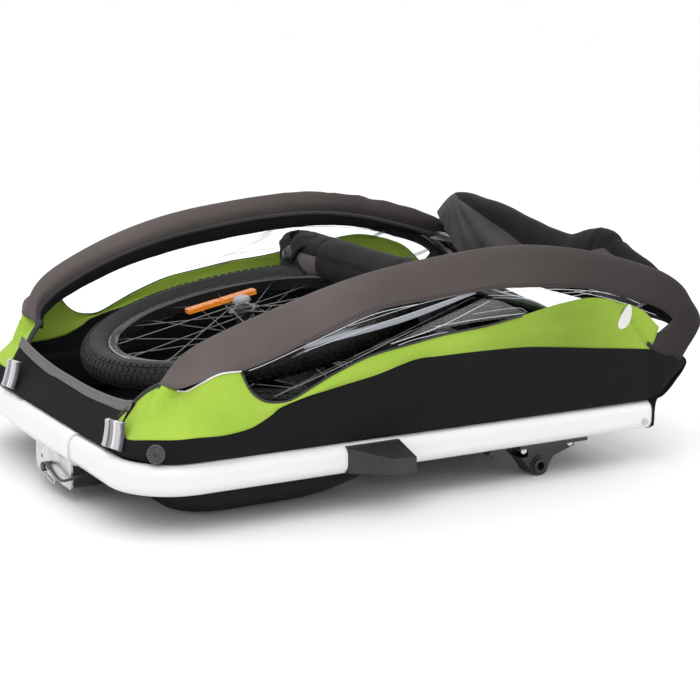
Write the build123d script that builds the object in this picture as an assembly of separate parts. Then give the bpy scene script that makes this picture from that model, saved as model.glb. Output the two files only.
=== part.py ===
from build123d import *
import os
from math import atan2, cos, degrees, radians, sin, sqrt, tan

# Child bicycle trailer, folded flat with its two wheels stowed inside.
# Millimetres. +X to the trailer's rear, +Y to its right side, +Z up, base at z = 0.

# ---------------------------------------------------------------- driving sizes
TUBE_WIDTH = 30.0
TUBE_HEIGHT = 43.0
TUBE_WALL = 2.0
RAIL_Y = 327.0
RAIL_Z = 79.5
RAIL_REAR_X = 378.0
BUMPER_X = -437.0
CORNER_RADIUS = 85.0
BUMPER_GAP = 1.0
SLEEVE_LEFT_Y = -112.0
SLEEVE_RIGHT_Y = 106.0
SLEEVE_WALL = 2.5
SLEEVE_GAP = 0.2
CAP_THICKNESS = 5.0

AXLE_X = 208.0
AXLE_Z = 15.0
AXLE_RADIUS = 6.0
RUNNING_GAP = 0.05
BRACKET_INNER_Y = RAIL_Y - 65.0
BRACKET_OUTER_Y = RAIL_Y - 27.0
BOSS_RADIUS = 15.0
BUSH_WALL = 3.0
AXLE_TUBE_RADIUS = 12.0
AXLE_TUBE_Z = 72.0

SEAT_BAR_X = 20.0
SEAT_BAR_Z = 68.0
SEAT_BAR_RADIUS = 8.0
REAR_BAR_X = 362.0
REAR_BAR_Z = 110.0
REAR_BAR_RADIUS = 7.0
SADDLE_LENGTH = 22.0

TUB_DEPTH_Z = 0.0
TUB_FRONT_X = -374.0
TUB_REAR_X = -62.0
TUB_WALL = 3.0
FLOOR_THICKNESS = 3.0
SOFT_GAP = 0.3
FABRIC = 4.0
PAD_HALF_WIDTH = 235.0

TYRE_RADIUS = 253.0
TYRE_SECTION = 22.0
TYRE_WALL = 3.5
RIM_OUTER = 209.0
RIM_INNER = 196.0
RIM_HALF_WIDTH = 12.0
RIM_WALL = 1.8
SPOKE_COUNT = 28
SPOKE_RADIUS = 1.0
HUB_FLANGE_RADIUS = 24.0
HUB_BARREL_RADIUS = 14.0
HUB_HALF_WIDTH = 27.0
STUB_LENGTH = 35.0
BUTTON_RADIUS = 14.0
BUTTON_TRAVEL = 4.0
UPPER_WHEEL_CENTRE = (-110.0, 30.0, 201.2)
UPPER_WHEEL_TILT = 10.9
LOWER_WHEEL_CENTRE = (-30.0, -45.0, 125.9)
LOWER_WHEEL_TILT = 3.43

HOOP_RADIUS = 9.0
HOOP_Y = RAIL_Y - 1.0
HOOP_PIVOT = (BUMPER_X + 39.0, RAIL_Y - 57.0, 122.0)
HOOP_SLEEVE_RADIUS = 15.0
PIVOT_PIN_RADIUS = 5.0
CROSS_TUBE_X = 396.0
CROSS_TUBE_Z = 262.0
CROSS_TUBE_RADIUS = 8.0

BACKREST_Y = 280.0
BACKREST_TUBE_RADIUS = 7.0
RIDGE_X = 105.0
RIDGE_Z = 285.0
PAD_THICKNESS = 12.0

TETHER_RADIUS = 2.0

RAIL_TOP = RAIL_Z + TUBE_HEIGHT / 2
RAIL_BOTTOM = RAIL_Z - TUBE_HEIGHT / 2
NEAR = -1
FAR = 1

os.makedirs("parts", exist_ok=True)
written = []


# ---------------------------------------------------------------- small helpers
def save(name, *shapes):
    """Writes one node: its solids side by side in one file."""
    solids = []
    for shape in shapes:
        solids += list(shape.solids())
    export_step(Compound(children=solids) if len(solids) > 1 else solids[0], f"parts/{name}.step")
    written.append(name)


def block(x0, x1, y0, y1, z0, z1):
    """A box between two corners."""
    return Pos((x0 + x1) / 2, (y0 + y1) / 2, (z0 + z1) / 2) * Box(abs(x1 - x0), abs(y1 - y0), abs(z1 - z0))


def rod(start, end, radius):
    """A round bar from one point to another."""
    line = Vector(*end) - Vector(*start)
    return extrude(Plane(origin=start, z_dir=line) * Circle(radius), line.length)


def side_profile(points, y0, y1):
    """An outline in X and Z, pushed from y0 to y1."""
    plane = Plane(origin=(0, y0, 0), x_dir=(1, 0, 0), z_dir=(0, -1, 0))
    return extrude(plane * make_face(Polyline(*points, close=True)), y0 - y1)


def plan_profile(points, z0, z1):
    """An outline in X and Y, pushed from z0 to z1."""
    return extrude(Pos(0, 0, z0) * make_face(Polyline(*points, close=True)), z1 - z0)


def both_sides(near_shape):
    """A near-side shape and its mirror image."""
    return [near_shape, mirror(near_shape, Plane.XZ)]


def arc_radii(points, largest=400.0):
    """The largest tangent arc that each corner of a route has room for."""
    radii = []
    for before, here, after in zip(points, points[1:], points[2:]):
        first = Vector(*here) - Vector(*before)
        second = Vector(*after) - Vector(*here)
        turn = radians(first.get_angle(second))
        shorter = min(first.length, second.length)
        radii.append(min(largest, 0.45 * shorter / tan(turn / 2)))
    return radii


def route(points, radii=None):
    """Straight runs joined by tangent arcs."""
    return FilletPolyline(*points, radius=radii or arc_radii(points))


def tube_along(points, radius, inner=0.0, radii=None):
    """A round tube, or a round bar when inner is 0, along a route."""
    path = route(points, radii)
    start = Plane(origin=points[0], z_dir=Vector(*points[1]) - Vector(*points[0]))
    section = Circle(radius) - Circle(inner) if inner else Circle(radius)
    return sweep(start * section, path)


# ---------------------------------------------------------------- frame rails and bumper
def flat_oval(width, height):
    return Rot(0, 0, 90) * SlotOverall(height, width)


def rail_solid(side, grow=0.0, hollow=True):
    """One side rail with its bumper corner, side is NEAR or FAR."""
    points = [
        (RAIL_REAR_X, side * RAIL_Y, RAIL_Z),
        (BUMPER_X, side * RAIL_Y, RAIL_Z),
        (BUMPER_X, side * BUMPER_GAP / 2, RAIL_Z),
    ]
    plane = Plane(origin=points[0], x_dir=(0, 1, 0), z_dir=(-1, 0, 0))
    section = flat_oval(TUBE_WIDTH + 2 * grow, TUBE_HEIGHT + 2 * grow)
    if hollow:
        section -= flat_oval(TUBE_WIDTH - 2 * TUBE_WALL, TUBE_HEIGHT - 2 * TUBE_WALL)
    return sweep(plane * section, route(points, [CORNER_RADIUS]))


rails = {side: rail_solid(side) for side in (NEAR, FAR)}
rail_bars = {side: rail_solid(side, hollow=False) for side in (NEAR, FAR)}

RIVET_X = RAIL_REAR_X - 12.0
RIVET_Z = RAIL_Z - 8.0
RIVET_RADIUS = 3.0
RIVET_HEAD_RADIUS = 5.0


def rivet(side):
    """A rivet through the rail's outer wall near its end, with a domed head."""
    face = RAIL_Y + TUBE_WIDTH / 2
    shank = rod((RIVET_X, side * (face - 8.0), RIVET_Z), (RIVET_X, side * face, RIVET_Z), RIVET_RADIUS)
    head = rod((RIVET_X, side * face, RIVET_Z), (RIVET_X, side * (face + 1.6), RIVET_Z), RIVET_HEAD_RADIUS)
    return shank + head


def end_cap(side):
    """A plug with a rim that closes the rail's rear end."""
    plane = Plane(origin=(RAIL_REAR_X, side * RAIL_Y, RAIL_Z), x_dir=(0, 1, 0), z_dir=(1, 0, 0))
    rim = extrude(plane * flat_oval(TUBE_WIDTH + 1.6, TUBE_HEIGHT + 1.6), CAP_THICKNESS)
    bore_gap = 2 * TUBE_WALL + 0.4
    plug = extrude(plane * flat_oval(TUBE_WIDTH - bore_gap, TUBE_HEIGHT - bore_gap), -20.0)
    cap = rim + plug
    return cap - rod((RIVET_X, side * (RAIL_Y + 2.0), RIVET_Z), (RIVET_X, side * (RAIL_Y + 20.0), RIVET_Z),
                     RIVET_RADIUS)


rivets = {side: rivet(side) for side in (NEAR, FAR)}
for side, name in ((NEAR, "left"), (FAR, "right")):
    save(f"frame_rail_{name}", rails[side] - rivets[side])
save("rail_end_caps", end_cap(NEAR), end_cap(FAR))
save("rail_rivets", *rivets.values())

# centre sleeve: a slightly larger flat-oval tube over the two rail ends
sleeve_plane = Plane(origin=(BUMPER_X, SLEEVE_LEFT_Y, RAIL_Z), x_dir=(1, 0, 0), z_dir=(0, 1, 0))
sleeve_bore = flat_oval(TUBE_WIDTH + 2 * SLEEVE_GAP, TUBE_HEIGHT + 2 * SLEEVE_GAP)
sleeve_grow = 2 * (SLEEVE_GAP + SLEEVE_WALL)
sleeve_outer = flat_oval(TUBE_WIDTH + sleeve_grow, TUBE_HEIGHT + sleeve_grow)
bumper_sleeve = extrude(sleeve_plane * (sleeve_outer - sleeve_bore), SLEEVE_RIGHT_Y - SLEEVE_LEFT_Y)
save("bumper_sleeve", bumper_sleeve)

# ---------------------------------------------------------------- receiver plate, socket and lock pin
PLATE_LEFT_Y = -112.0
PLATE_RIGHT_Y = 31.0
PLATE_BOTTOM_Z = 21.0
PLATE_FRONT_X = -450.0
PLATE_THICKNESS = 3.0
SOCKET_FRONT_X = PLATE_FRONT_X + PLATE_THICKNESS
SOCKET_REAR_X = -398.0
SOCKET_LEFT_Y = -108.0
SOCKET_RIGHT_Y = 24.0
SOCKET_WALL = 4.0
PIN_Y = -14.0
PIN_Z = 33.0
PIN_RADIUS = 4.0
PIN_TRAVEL = 34.0
PLATE_HOLE_Y = 6.0
PLATE_HOLE_Z = 44.0
PLATE_HOLE_RADIUS = 3.0

plate = block(PLATE_FRONT_X, SOCKET_FRONT_X, PLATE_LEFT_Y, PLATE_RIGHT_Y, PLATE_BOTTOM_Z, RAIL_Z)
plate = fillet(plate.edges().filter_by(Axis.X).group_by(Axis.Z)[0], 8.0)
sleeve_bar = extrude(sleeve_plane * sleeve_outer, SLEEVE_RIGHT_Y - SLEEVE_LEFT_Y)
plate -= sleeve_bar
plate -= rod((PLATE_FRONT_X - 1, PLATE_HOLE_Y, PLATE_HOLE_Z), (SOCKET_FRONT_X + 1, PLATE_HOLE_Y, PLATE_HOLE_Z),
             PLATE_HOLE_RADIUS)
pin_bore = rod((PLATE_FRONT_X - 1, PIN_Y, PIN_Z), (SOCKET_REAR_X + 1, PIN_Y, PIN_Z), PIN_RADIUS + RUNNING_GAP)
plate -= pin_bore
plate = max(plate.solids(), key=lambda solid: solid.volume)
save("receiver_plate", plate)

socket = block(SOCKET_FRONT_X, SOCKET_REAR_X, SOCKET_LEFT_Y, SOCKET_RIGHT_Y, PLATE_BOTTOM_Z, RAIL_Z)
socket = fillet(socket.edges().filter_by(Axis.X).group_by(Axis.Z)[0], 8.0)
SOCKET_TOP_Z = RAIL_Z - (TUBE_HEIGHT + sleeve_grow) / 2
channel = block(SOCKET_FRONT_X + SOCKET_WALL, SOCKET_REAR_X + 1, SOCKET_LEFT_Y + SOCKET_WALL,
                SOCKET_RIGHT_Y - SOCKET_WALL, PLATE_BOTTOM_Z + SOCKET_WALL, SOCKET_TOP_Z - SOCKET_WALL)
socket -= block(SOCKET_FRONT_X - 1, SOCKET_REAR_X + 1, SOCKET_LEFT_Y - 1, SOCKET_RIGHT_Y + 1, SOCKET_TOP_Z,
                RAIL_Z + 1)
ANCHOR_X = -424.0
ANCHOR_Y = -121.0
ANCHOR_Z = 46.0
anchor = rod((ANCHOR_X, ANCHOR_Y, ANCHOR_Z), (ANCHOR_X + 12.0, ANCHOR_Y, ANCHOR_Z), 4.0)
anchor += block(ANCHOR_X + 2.0, ANCHOR_X + 10.0, ANCHOR_Y, SOCKET_LEFT_Y + 1.0, ANCHOR_Z - 3.0, ANCHOR_Z + 3.0)
socket = socket - channel - pin_bore + anchor
save("hitch_socket", socket)

KNOB_RADIUS = 7.0
knob_x = PLATE_FRONT_X - SOFT_GAP
knob = rod((knob_x - 8.0, PIN_Y, PIN_Z), (knob_x, PIN_Y, PIN_Z), KNOB_RADIUS)
shank = rod((knob_x, PIN_Y, PIN_Z), (SOCKET_REAR_X - 6.0, PIN_Y, PIN_Z), PIN_RADIUS)
save("lock_pin", fillet(knob.edges().group_by(Axis.X)[0], 2.5) + shank)

CLIP_WIRE = 1.2
CLIP_REACH = KNOB_RADIUS + 2 * SOFT_GAP
clip_points = [
    (knob_x - 4.0, PIN_Y - CLIP_REACH, PIN_Z + 1.0),
    (knob_x - 4.0, PIN_Y - 22.0, PIN_Z - 2.0),
    (knob_x - 4.0, PIN_Y - 44.0, PIN_Z - 10.0),
    (knob_x - 4.0, PIN_Y - 43.0, PIN_Z - 15.0),
    (knob_x - 4.0, PIN_Y - 24.0, PIN_Z - 14.0),
    (knob_x - 4.0, PIN_Y - 5.0, PIN_Z - CLIP_REACH - 0.6),
]
save("pin_clip", tube_along(clip_points, CLIP_WIRE))

tether_points = [
    (-455.0, -20.5, 40.0),
    (-457.5, -34.0, 42.5),
    (-458.5, -54.0, 40.0),
    (-459.0, -77.0, 34.0),
    (-459.0, -99.0, 33.0),
    (-455.5, -114.5, 38.0),
    (-445.0, -121.0, 43.0),
    (ANCHOR_X - SOFT_GAP, ANCHOR_Y, ANCHOR_Z),
]
save("pin_tether", tube_along(tether_points, TETHER_RADIUS))

# ---------------------------------------------------------------- axle tube, brackets, bushes, bolts
def cross_tube(x, z, radius, inner):
    """A tube between the rails, cut to the rails' shape at its ends."""
    end_y = RAIL_Y - TUBE_WIDTH / 2 + 2.0
    bar = rod((x, -end_y, z), (x, end_y, z), radius)
    for rail in rail_bars.values():
        bar -= rail
    bar = max(bar.solids(), key=lambda solid: solid.volume)
    return bar - rod((x, -RAIL_Y, z), (x, RAIL_Y, z), inner)


save("axle_tube", cross_tube(AXLE_X, AXLE_TUBE_Z, AXLE_TUBE_RADIUS, AXLE_TUBE_RADIUS - 2.0))
save("seat_bar", cross_tube(SEAT_BAR_X, SEAT_BAR_Z, SEAT_BAR_RADIUS, SEAT_BAR_RADIUS - 1.5))

BRACKET_FRONT_X = AXLE_X - 56.0
BRACKET_REAR_X = AXLE_X + 62.0
BOLT_RADIUS = 3.0
BOLT_PLACES = ((AXLE_X - 30.0, 42.0), (AXLE_X + 52.0, 44.0))
BUSH_OUTER = AXLE_RADIUS + RUNNING_GAP + BUSH_WALL


def axle_bracket(side):
    """A cast bracket under the rail that holds the wheel's axle stub."""
    outline = [
        (BRACKET_FRONT_X, RAIL_BOTTOM + 4.0),
        (BRACKET_FRONT_X, RAIL_BOTTOM - 6.0),
        (AXLE_X - 26.0, 24.0),
        (AXLE_X - 10.6, AXLE_Z - 10.6),
        (AXLE_X + 10.6, AXLE_Z - 10.6),
        (AXLE_X + 26.0, 27.0),
        (BRACKET_REAR_X, 38.0),
        (BRACKET_REAR_X, RAIL_BOTTOM + 4.0),
    ]
    inner = side * BRACKET_INNER_Y
    outer = side * BRACKET_OUTER_Y
    web = side_profile(outline, min(inner, outer) + 2.0, max(inner, outer) - 2.0)
    boss = rod((AXLE_X, inner, AXLE_Z), (AXLE_X, outer, AXLE_Z), BOSS_RADIUS)
    core_inner = side * (BRACKET_INNER_Y + 9.0)
    core = block(BRACKET_FRONT_X + 8.0, AXLE_X - 20.0, core_inner, outer * 1.1, 30.0, RAIL_BOTTOM - 8.0)
    flange = block(BRACKET_FRONT_X, BRACKET_REAR_X, side * (BRACKET_INNER_Y + 6.0), side * (RAIL_Y + 4.0),
                   RAIL_BOTTOM - 5.0, RAIL_BOTTOM + 8.0)
    body = web - core + boss + flange
    body -= rail_bars[side]
    body -= rod((AXLE_X, -RAIL_Y, AXLE_TUBE_Z), (AXLE_X, RAIL_Y, AXLE_TUBE_Z), AXLE_TUBE_RADIUS)
    body -= rod((AXLE_X, inner * 0.9, AXLE_Z), (AXLE_X, outer * 1.1, AXLE_Z), BUSH_OUTER)
    for x, z in BOLT_PLACES:
        body -= rod((x, inner * 0.9, z), (x, outer * 1.1, z), BOLT_RADIUS)
    return max(body.solids(), key=lambda solid: solid.volume)


def axle_bush(side):
    """A plain bearing sleeve with a collar on its outer end."""
    inner = side * BRACKET_INNER_Y
    outer = side * BRACKET_OUTER_Y
    sleeve = rod((AXLE_X, inner, AXLE_Z), (AXLE_X, outer, AXLE_Z), BUSH_OUTER)
    collar = rod((AXLE_X, outer, AXLE_Z), (AXLE_X, outer + side * 3.0, AXLE_Z), BUSH_OUTER + 2.5)
    bore = rod((AXLE_X, inner * 0.9, AXLE_Z), (AXLE_X, outer * 1.1, AXLE_Z), AXLE_RADIUS + RUNNING_GAP)
    return sleeve + collar - bore


def hex_bolt(x, z, y0, y1, side):
    """A bolt along Y with a hexagon head on its outer end and a nut on its inner end."""
    shank = rod((x, y0, z), (x, y1, z), BOLT_RADIUS)
    head_plane = Plane(origin=(x, y1, z), z_dir=(0, side, 0))
    nut_plane = Plane(origin=(x, y0, z), z_dir=(0, -side, 0))
    head = extrude(head_plane * RegularPolygon(5.5, 6), 4.0)
    nut = extrude(nut_plane * RegularPolygon(5.5, 6), 5.0)
    return shank + head + nut


for side, name in ((NEAR, "left"), (FAR, "right")):
    save(f"axle_bracket_{name}", axle_bracket(side))
save("axle_bushes", axle_bush(NEAR), axle_bush(FAR))
bolts = []
for side in (NEAR, FAR):
    for x, z in BOLT_PLACES:
        bolts.append(hex_bolt(x, z, side * (BRACKET_INNER_Y + 2.0), side * (BRACKET_OUTER_Y - 2.0), side))
save("bracket_bolts", *bolts)


def cable_clamp(side):
    """A small strap clamp under the rail with a nut below it."""
    strap = block(98.0, 126.0, side * 312.0, side * 334.0, RAIL_BOTTOM - 6.0, RAIL_BOTTOM + 8.0)
    strap -= rail_bars[side]
    strap = max(strap.solids(), key=lambda solid: solid.volume)
    nut_plane = Plane(origin=(108.0, side * RAIL_Y, RAIL_BOTTOM - 6.0), z_dir=(0, 0, -1))
    return [strap, extrude(nut_plane * RegularPolygon(5.0, 6), 5.0)]


save("rail_clamps", *cable_clamp(NEAR), *cable_clamp(FAR))


# ---------------------------------------------------------------- side guards
def side_guard():
    """A tapering moulding on the near rail, with a sloping top."""
    outline = [
        (-142.0, -RAIL_Y),
        (-136.0, -RAIL_Y - 18.0),
        (-88.0, -RAIL_Y - 53.0),
        (-52.0, -RAIL_Y - 55.0),
        (-56.0, -RAIL_Y),
    ]
    guard = plan_profile(outline, RAIL_BOTTOM + 3.0, RAIL_TOP - 3.0)
    wedge_plane = Plane(origin=(-160.0, 0, 0), x_dir=(0, 1, 0), z_dir=(1, 0, 0))
    slope = make_face(Polyline((-342.0, RAIL_TOP - 4.0), (-390.0, RAIL_TOP - 21.0), (-390.0, 110.0),
                               (-342.0, 110.0), close=True))
    guard -= extrude(wedge_plane * slope, 130.0)
    guard -= rail_bars[NEAR]
    return max(guard.solids(), key=lambda solid: solid.volume)


save("side_guards", *both_sides(side_guard()))

# ---------------------------------------------------------------- floor: tub, panel, seat pad
def tub_section(x0, x1, half_width, z, shrink, radius):
    sketch = RectangleRounded(x1 - x0 - 2 * shrink, 2 * (half_width - shrink), radius)
    return Pos((x0 + x1) / 2, 0, z) * sketch


def tub_shell(shrink, drop):
    """The footwell's form: wide at the rails, narrow and flat where it meets the ground."""
    rim_z = RAIL_BOTTOM - SOFT_GAP
    sections = [
        tub_section(TUB_FRONT_X, TUB_REAR_X, RAIL_Y, rim_z + drop, shrink, 60.0),
        tub_section(-366.0, -84.0, 292.0, 30.0 + shrink / 2, shrink, 60.0),
        tub_section(-340.0, -116.0, 228.0, TUB_DEPTH_Z + shrink, shrink, 60.0),
    ]
    return loft(sections, ruled=True)


save("footwell_tub", tub_shell(0.0, 0.0) - tub_shell(TUB_WALL, 1.0))

FLOOR_TOP = SEAT_BAR_Z - SEAT_BAR_RADIUS - SOFT_GAP
floor = block(TUB_REAR_X + SOFT_GAP, RAIL_REAR_X - 4.0, -300.0, 300.0, FLOOR_TOP - FLOOR_THICKNESS, FLOOR_TOP)
for side in (NEAR, FAR):
    floor -= block(BRACKET_FRONT_X - 2.0, BRACKET_REAR_X + 2.0, side * (BRACKET_INNER_Y - 8.0), side * 320.0,
                   0.0, 90.0)
save("floor_panel", floor)

PAD_TOP_Z = 89.6
seat_pad = block(-18.0, AXLE_X - AXLE_TUBE_RADIUS - 4.0, -PAD_HALF_WIDTH, PAD_HALF_WIDTH,
                 SEAT_BAR_Z + SEAT_BAR_RADIUS + SOFT_GAP, PAD_TOP_Z)
save("seat_pad", fillet(seat_pad.edges().filter_by(Axis.Z), 30.0))

# ---------------------------------------------------------------- front panel, corners, side panels
PANEL_HALF_WIDTH = 226.0
PANEL_FOOT_Z = RAIL_TOP + SLEEVE_GAP + SLEEVE_WALL + SOFT_GAP
HEM_X = -400.0
HEM_Z = 150.0
HEM_RADIUS = 3.5
front_panel = side_profile([(BUMPER_X - 6.0, PANEL_FOOT_Z), (BUMPER_X + 1.0, PANEL_FOOT_Z),
                            (HEM_X + 2.0, HEM_Z - HEM_RADIUS - SOFT_GAP),
                            (HEM_X - 3.0, HEM_Z - HEM_RADIUS - SOFT_GAP)], -PANEL_HALF_WIDTH, PANEL_HALF_WIDTH)
save("front_panel", front_panel)
hem_half = PANEL_HALF_WIDTH - 16.0
save("front_hem", rod((HEM_X, -hem_half, HEM_Z), (HEM_X, hem_half, HEM_Z), HEM_RADIUS))

CORNER_PANEL_TOP = 139.0
CORNER_SHIFT = FABRIC * 0.7
CORNER_LINE = [
    (BUMPER_X + 9.0, -RAIL_Y + 97.0),
    (BUMPER_X + 11.0, -RAIL_Y + 61.0),
    (BUMPER_X + 20.0, -RAIL_Y + 24.0),
    (BUMPER_X + 36.0, -RAIL_Y + 5.0),
    (BUMPER_X + CORNER_RADIUS, -RAIL_Y - 4.0),
]


def corner_panel():
    """Near front corner: fabric that stands on the rail's bend."""
    outer_line = [(x - CORNER_SHIFT, y - CORNER_SHIFT) for x, y in CORNER_LINE]
    return plan_profile(CORNER_LINE + outer_line[::-1], RAIL_TOP + SOFT_GAP, CORNER_PANEL_TOP)


save("corner_panels", *both_sides(corner_panel()))

PATCH_RADIUS = 13.5
PATCH_Z = 119.0
(patch_x0, patch_y0), (patch_x1, patch_y1) = CORNER_LINE[2:4]
patch_run = Vector(patch_x1 - patch_x0, patch_y1 - patch_y0, 0).normalized()
patch_out = Vector(patch_run.Y, -patch_run.X, 0)
patch_middle = Vector((patch_x0 + patch_x1) / 2 - CORNER_SHIFT, (patch_y0 + patch_y1) / 2 - CORNER_SHIFT, PATCH_Z)
patch_plane = Plane(origin=patch_middle, x_dir=patch_run, z_dir=patch_out)
patch = extrude(patch_plane * Circle(PATCH_RADIUS), 3.0) - corner_panel()
patch = max(patch.solids(), key=lambda solid: solid.volume)
save("corner_patches", *both_sides(patch))

CLIP_SIZE = 39.0
CLIP_THICKNESS = 4.5
CLIP_Y = 206.0
CLIP_Z = 125.0
panel_foot = Vector(BUMPER_X - 6.0, 0, PANEL_FOOT_Z)
panel_head = Vector(HEM_X - 3.0, 0, HEM_Z - HEM_RADIUS - SOFT_GAP)
panel_run = (panel_head - panel_foot).normalized()
clip_share = (CLIP_Z - panel_foot.Z) / (panel_head.Z - panel_foot.Z)
clip_middle = panel_foot + (panel_head - panel_foot) * clip_share + Vector(0, -CLIP_Y, 0)
panel_out = Vector(-panel_run.Z, 0, panel_run.X)
clip_plane = Plane(origin=clip_middle + panel_out * SOFT_GAP, x_dir=(0, 1, 0), z_dir=panel_out)
clip = extrude(clip_plane * RectangleRounded(CLIP_SIZE, CLIP_SIZE, 4.0), CLIP_THICKNESS)
save("reflector_clips", *both_sides(clip))

PANEL_INNER_Y = RAIL_Y - 3.0
PANEL_OUTER_Y = RAIL_Y + 3.0
BAND_OUTER_Y = RAIL_Y
# the line between the black lower panel and the band above it
waist_line = [(-340.0, 138.0), (-300.0, 142.0), (-244.0, 164.0), (-140.0, 188.0), (-37.0, 209.0), (71.0, 210.0),
              (154.0, 208.0), (305.0, 190.0), (367.0, 184.0), (396.0, 178.0)]
panel_outline = [(-348.0, RAIL_TOP + SOFT_GAP), (376.0, RAIL_TOP + SOFT_GAP), (402.0, 120.0), (440.0, 146.0),
                 (440.0, 156.0), (416.0, 164.0)]
panel_outline += [(x, z - 1.0) for x, z in reversed(waist_line)]
side_panel = side_profile(panel_outline, -PANEL_OUTER_Y, -PANEL_INNER_Y)
for name, shape in zip(("left", "right"), both_sides(side_panel)):
    save(f"side_panel_{name}", shape)

# ---------------------------------------------------------------- rear bar that the backrest turns on
def saddle(side):
    """A foot that carries the rear bar on the rail."""
    foot = block(REAR_BAR_X - SADDLE_LENGTH / 2, REAR_BAR_X + SADDLE_LENGTH / 2, side * 302.0, side * 320.0,
                 RAIL_TOP - 14.0, REAR_BAR_Z + REAR_BAR_RADIUS + 4.0)
    return foot - rail_bars[side]


rear_bar = rod((REAR_BAR_X, -310.0, REAR_BAR_Z), (REAR_BAR_X, 310.0, REAR_BAR_Z), REAR_BAR_RADIUS)
for side in (NEAR, FAR):
    rear_bar += max(saddle(side).solids(), key=lambda solid: solid.volume)
save("rear_bar", rear_bar)

# ---------------------------------------------------------------- roll cage
hoop_points = [
    HOOP_PIVOT,
    (HOOP_PIVOT[0] + 18.0, HOOP_PIVOT[1], 174.0),
    (-343.0, HOOP_Y - 38.0, 222.0),
    (-298.0, HOOP_Y - 20.0, 256.0),
    (-215.0, HOOP_Y - 4.0, 290.0),
    (-128.0, HOOP_Y, 314.0),
    (-35.0, HOOP_Y, 329.0),
    (60.0, HOOP_Y, 338.0),
    (150.0, HOOP_Y, 339.0),
    (230.0, HOOP_Y, 328.0),
    (290.0, HOOP_Y, 310.0),
    (352.0, HOOP_Y, 286.0),
    (408.0, HOOP_Y, 252.0),
    (443.0, HOOP_Y, 214.0),
    (433.0, HOOP_Y, 184.0),
]
EYE_RADIUS = 12.0


def hoop_tube():
    """The far side tube of the cage, with an eye at its front end."""
    x, y, z = HOOP_PIVOT
    tube = tube_along(hoop_points, HOOP_RADIUS)
    eye = rod((x, y - HOOP_RADIUS, z), (x, y + HOOP_RADIUS, z), EYE_RADIUS)
    eye_bore = rod((x, y - 20.0, z), (x, y + 20.0, z), PIVOT_PIN_RADIUS + RUNNING_GAP)
    return tube + eye - eye_bore


far_hoop = hoop_tube()
save("hoop_tube_right", far_hoop)
save("hoop_tube_left", mirror(far_hoop, about=Plane.XZ))


def hoop_rod(side):
    far_rod = tube_along(hoop_points, HOOP_RADIUS)
    return far_rod if side == FAR else mirror(far_rod, about=Plane.XZ)


cross_bar = rod((CROSS_TUBE_X, -HOOP_Y, CROSS_TUBE_Z), (CROSS_TUBE_X, HOOP_Y, CROSS_TUBE_Z), CROSS_TUBE_RADIUS)
for side in (NEAR, FAR):
    cross_bar -= hoop_rod(side)
cross_bar = max(cross_bar.solids(), key=lambda solid: solid.volume)
save("hoop_cross_tube", cross_bar)

cross_bar_room = rod((CROSS_TUBE_X, -HOOP_Y, CROSS_TUBE_Z), (CROSS_TUBE_X, HOOP_Y, CROSS_TUBE_Z),
                     CROSS_TUBE_RADIUS + SOFT_GAP)
far_sleeve = tube_along(hoop_points, HOOP_SLEEVE_RADIUS, HOOP_RADIUS + SOFT_GAP)
far_sleeve -= block(HOOP_PIVOT[0] - 30.0, HOOP_PIVOT[0] + 60.0, HOOP_PIVOT[1] - 30.0, RAIL_Y, RAIL_TOP - 10.0,
                    HOOP_PIVOT[2] + 68.0)
far_sleeve -= cross_bar_room
far_sleeve = max(far_sleeve.solids(), key=lambda solid: solid.volume)
save("hoop_sleeve_right", far_sleeve)
save("hoop_sleeve_left", mirror(far_sleeve, about=Plane.XZ))

PIVOT_EAR_INNER_Y = HOOP_PIVOT[1] + HOOP_RADIUS + SOFT_GAP
PIVOT_EAR_OUTER_Y = PIVOT_EAR_INNER_Y + 4.0


def pivot_bracket():
    """Near ear that stands on the rail's bend and carries the hoop's pin."""
    x, y, z = HOOP_PIVOT
    ear = block(x - 18.0, x + 12.0, -PIVOT_EAR_OUTER_Y, -PIVOT_EAR_INNER_Y, RAIL_Z, z + 12.0)
    ear -= rail_bars[NEAR]
    ear = max(ear.solids(), key=lambda solid: solid.volume)
    return ear - rod((x, -y - 30, z), (x, -y + 30, z), PIVOT_PIN_RADIUS)


def pivot_pin():
    """Near headed pin through the hoop's eye and the ear."""
    x, y, z = HOOP_PIVOT
    inner = y - HOOP_RADIUS - SOFT_GAP
    shank = rod((x, -PIVOT_EAR_OUTER_Y, z), (x, -inner, z), PIVOT_PIN_RADIUS)
    return shank + rod((x, -inner, z), (x, -inner + 4.0, z), PIVOT_PIN_RADIUS + 3.5)


save("pivot_brackets", *both_sides(pivot_bracket()))
save("pivot_pins", *both_sides(pivot_pin()))

# fabric between the hoops at the rear, loose over the cross tube
roof_plane = Plane(origin=(366.0, 0, 0), x_dir=(0, 1, 0), z_dir=(1, 0, 0))
roof_outline = [(-306.0, 244.0), (-306.0, 270.0), (-240.0, 306.0), (-140.0, 330.0), (-20.0, 300.0),
                (100.0, 308.0), (215.0, 334.0), (262.0, 330.0), (306.0, 290.0), (306.0, 244.0), (0.0, 236.0)]
roof = extrude(roof_plane * make_face(Polyline(*roof_outline, close=True)), 76.0)
save("roof_fabric", roof - cross_bar_room)

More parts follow.
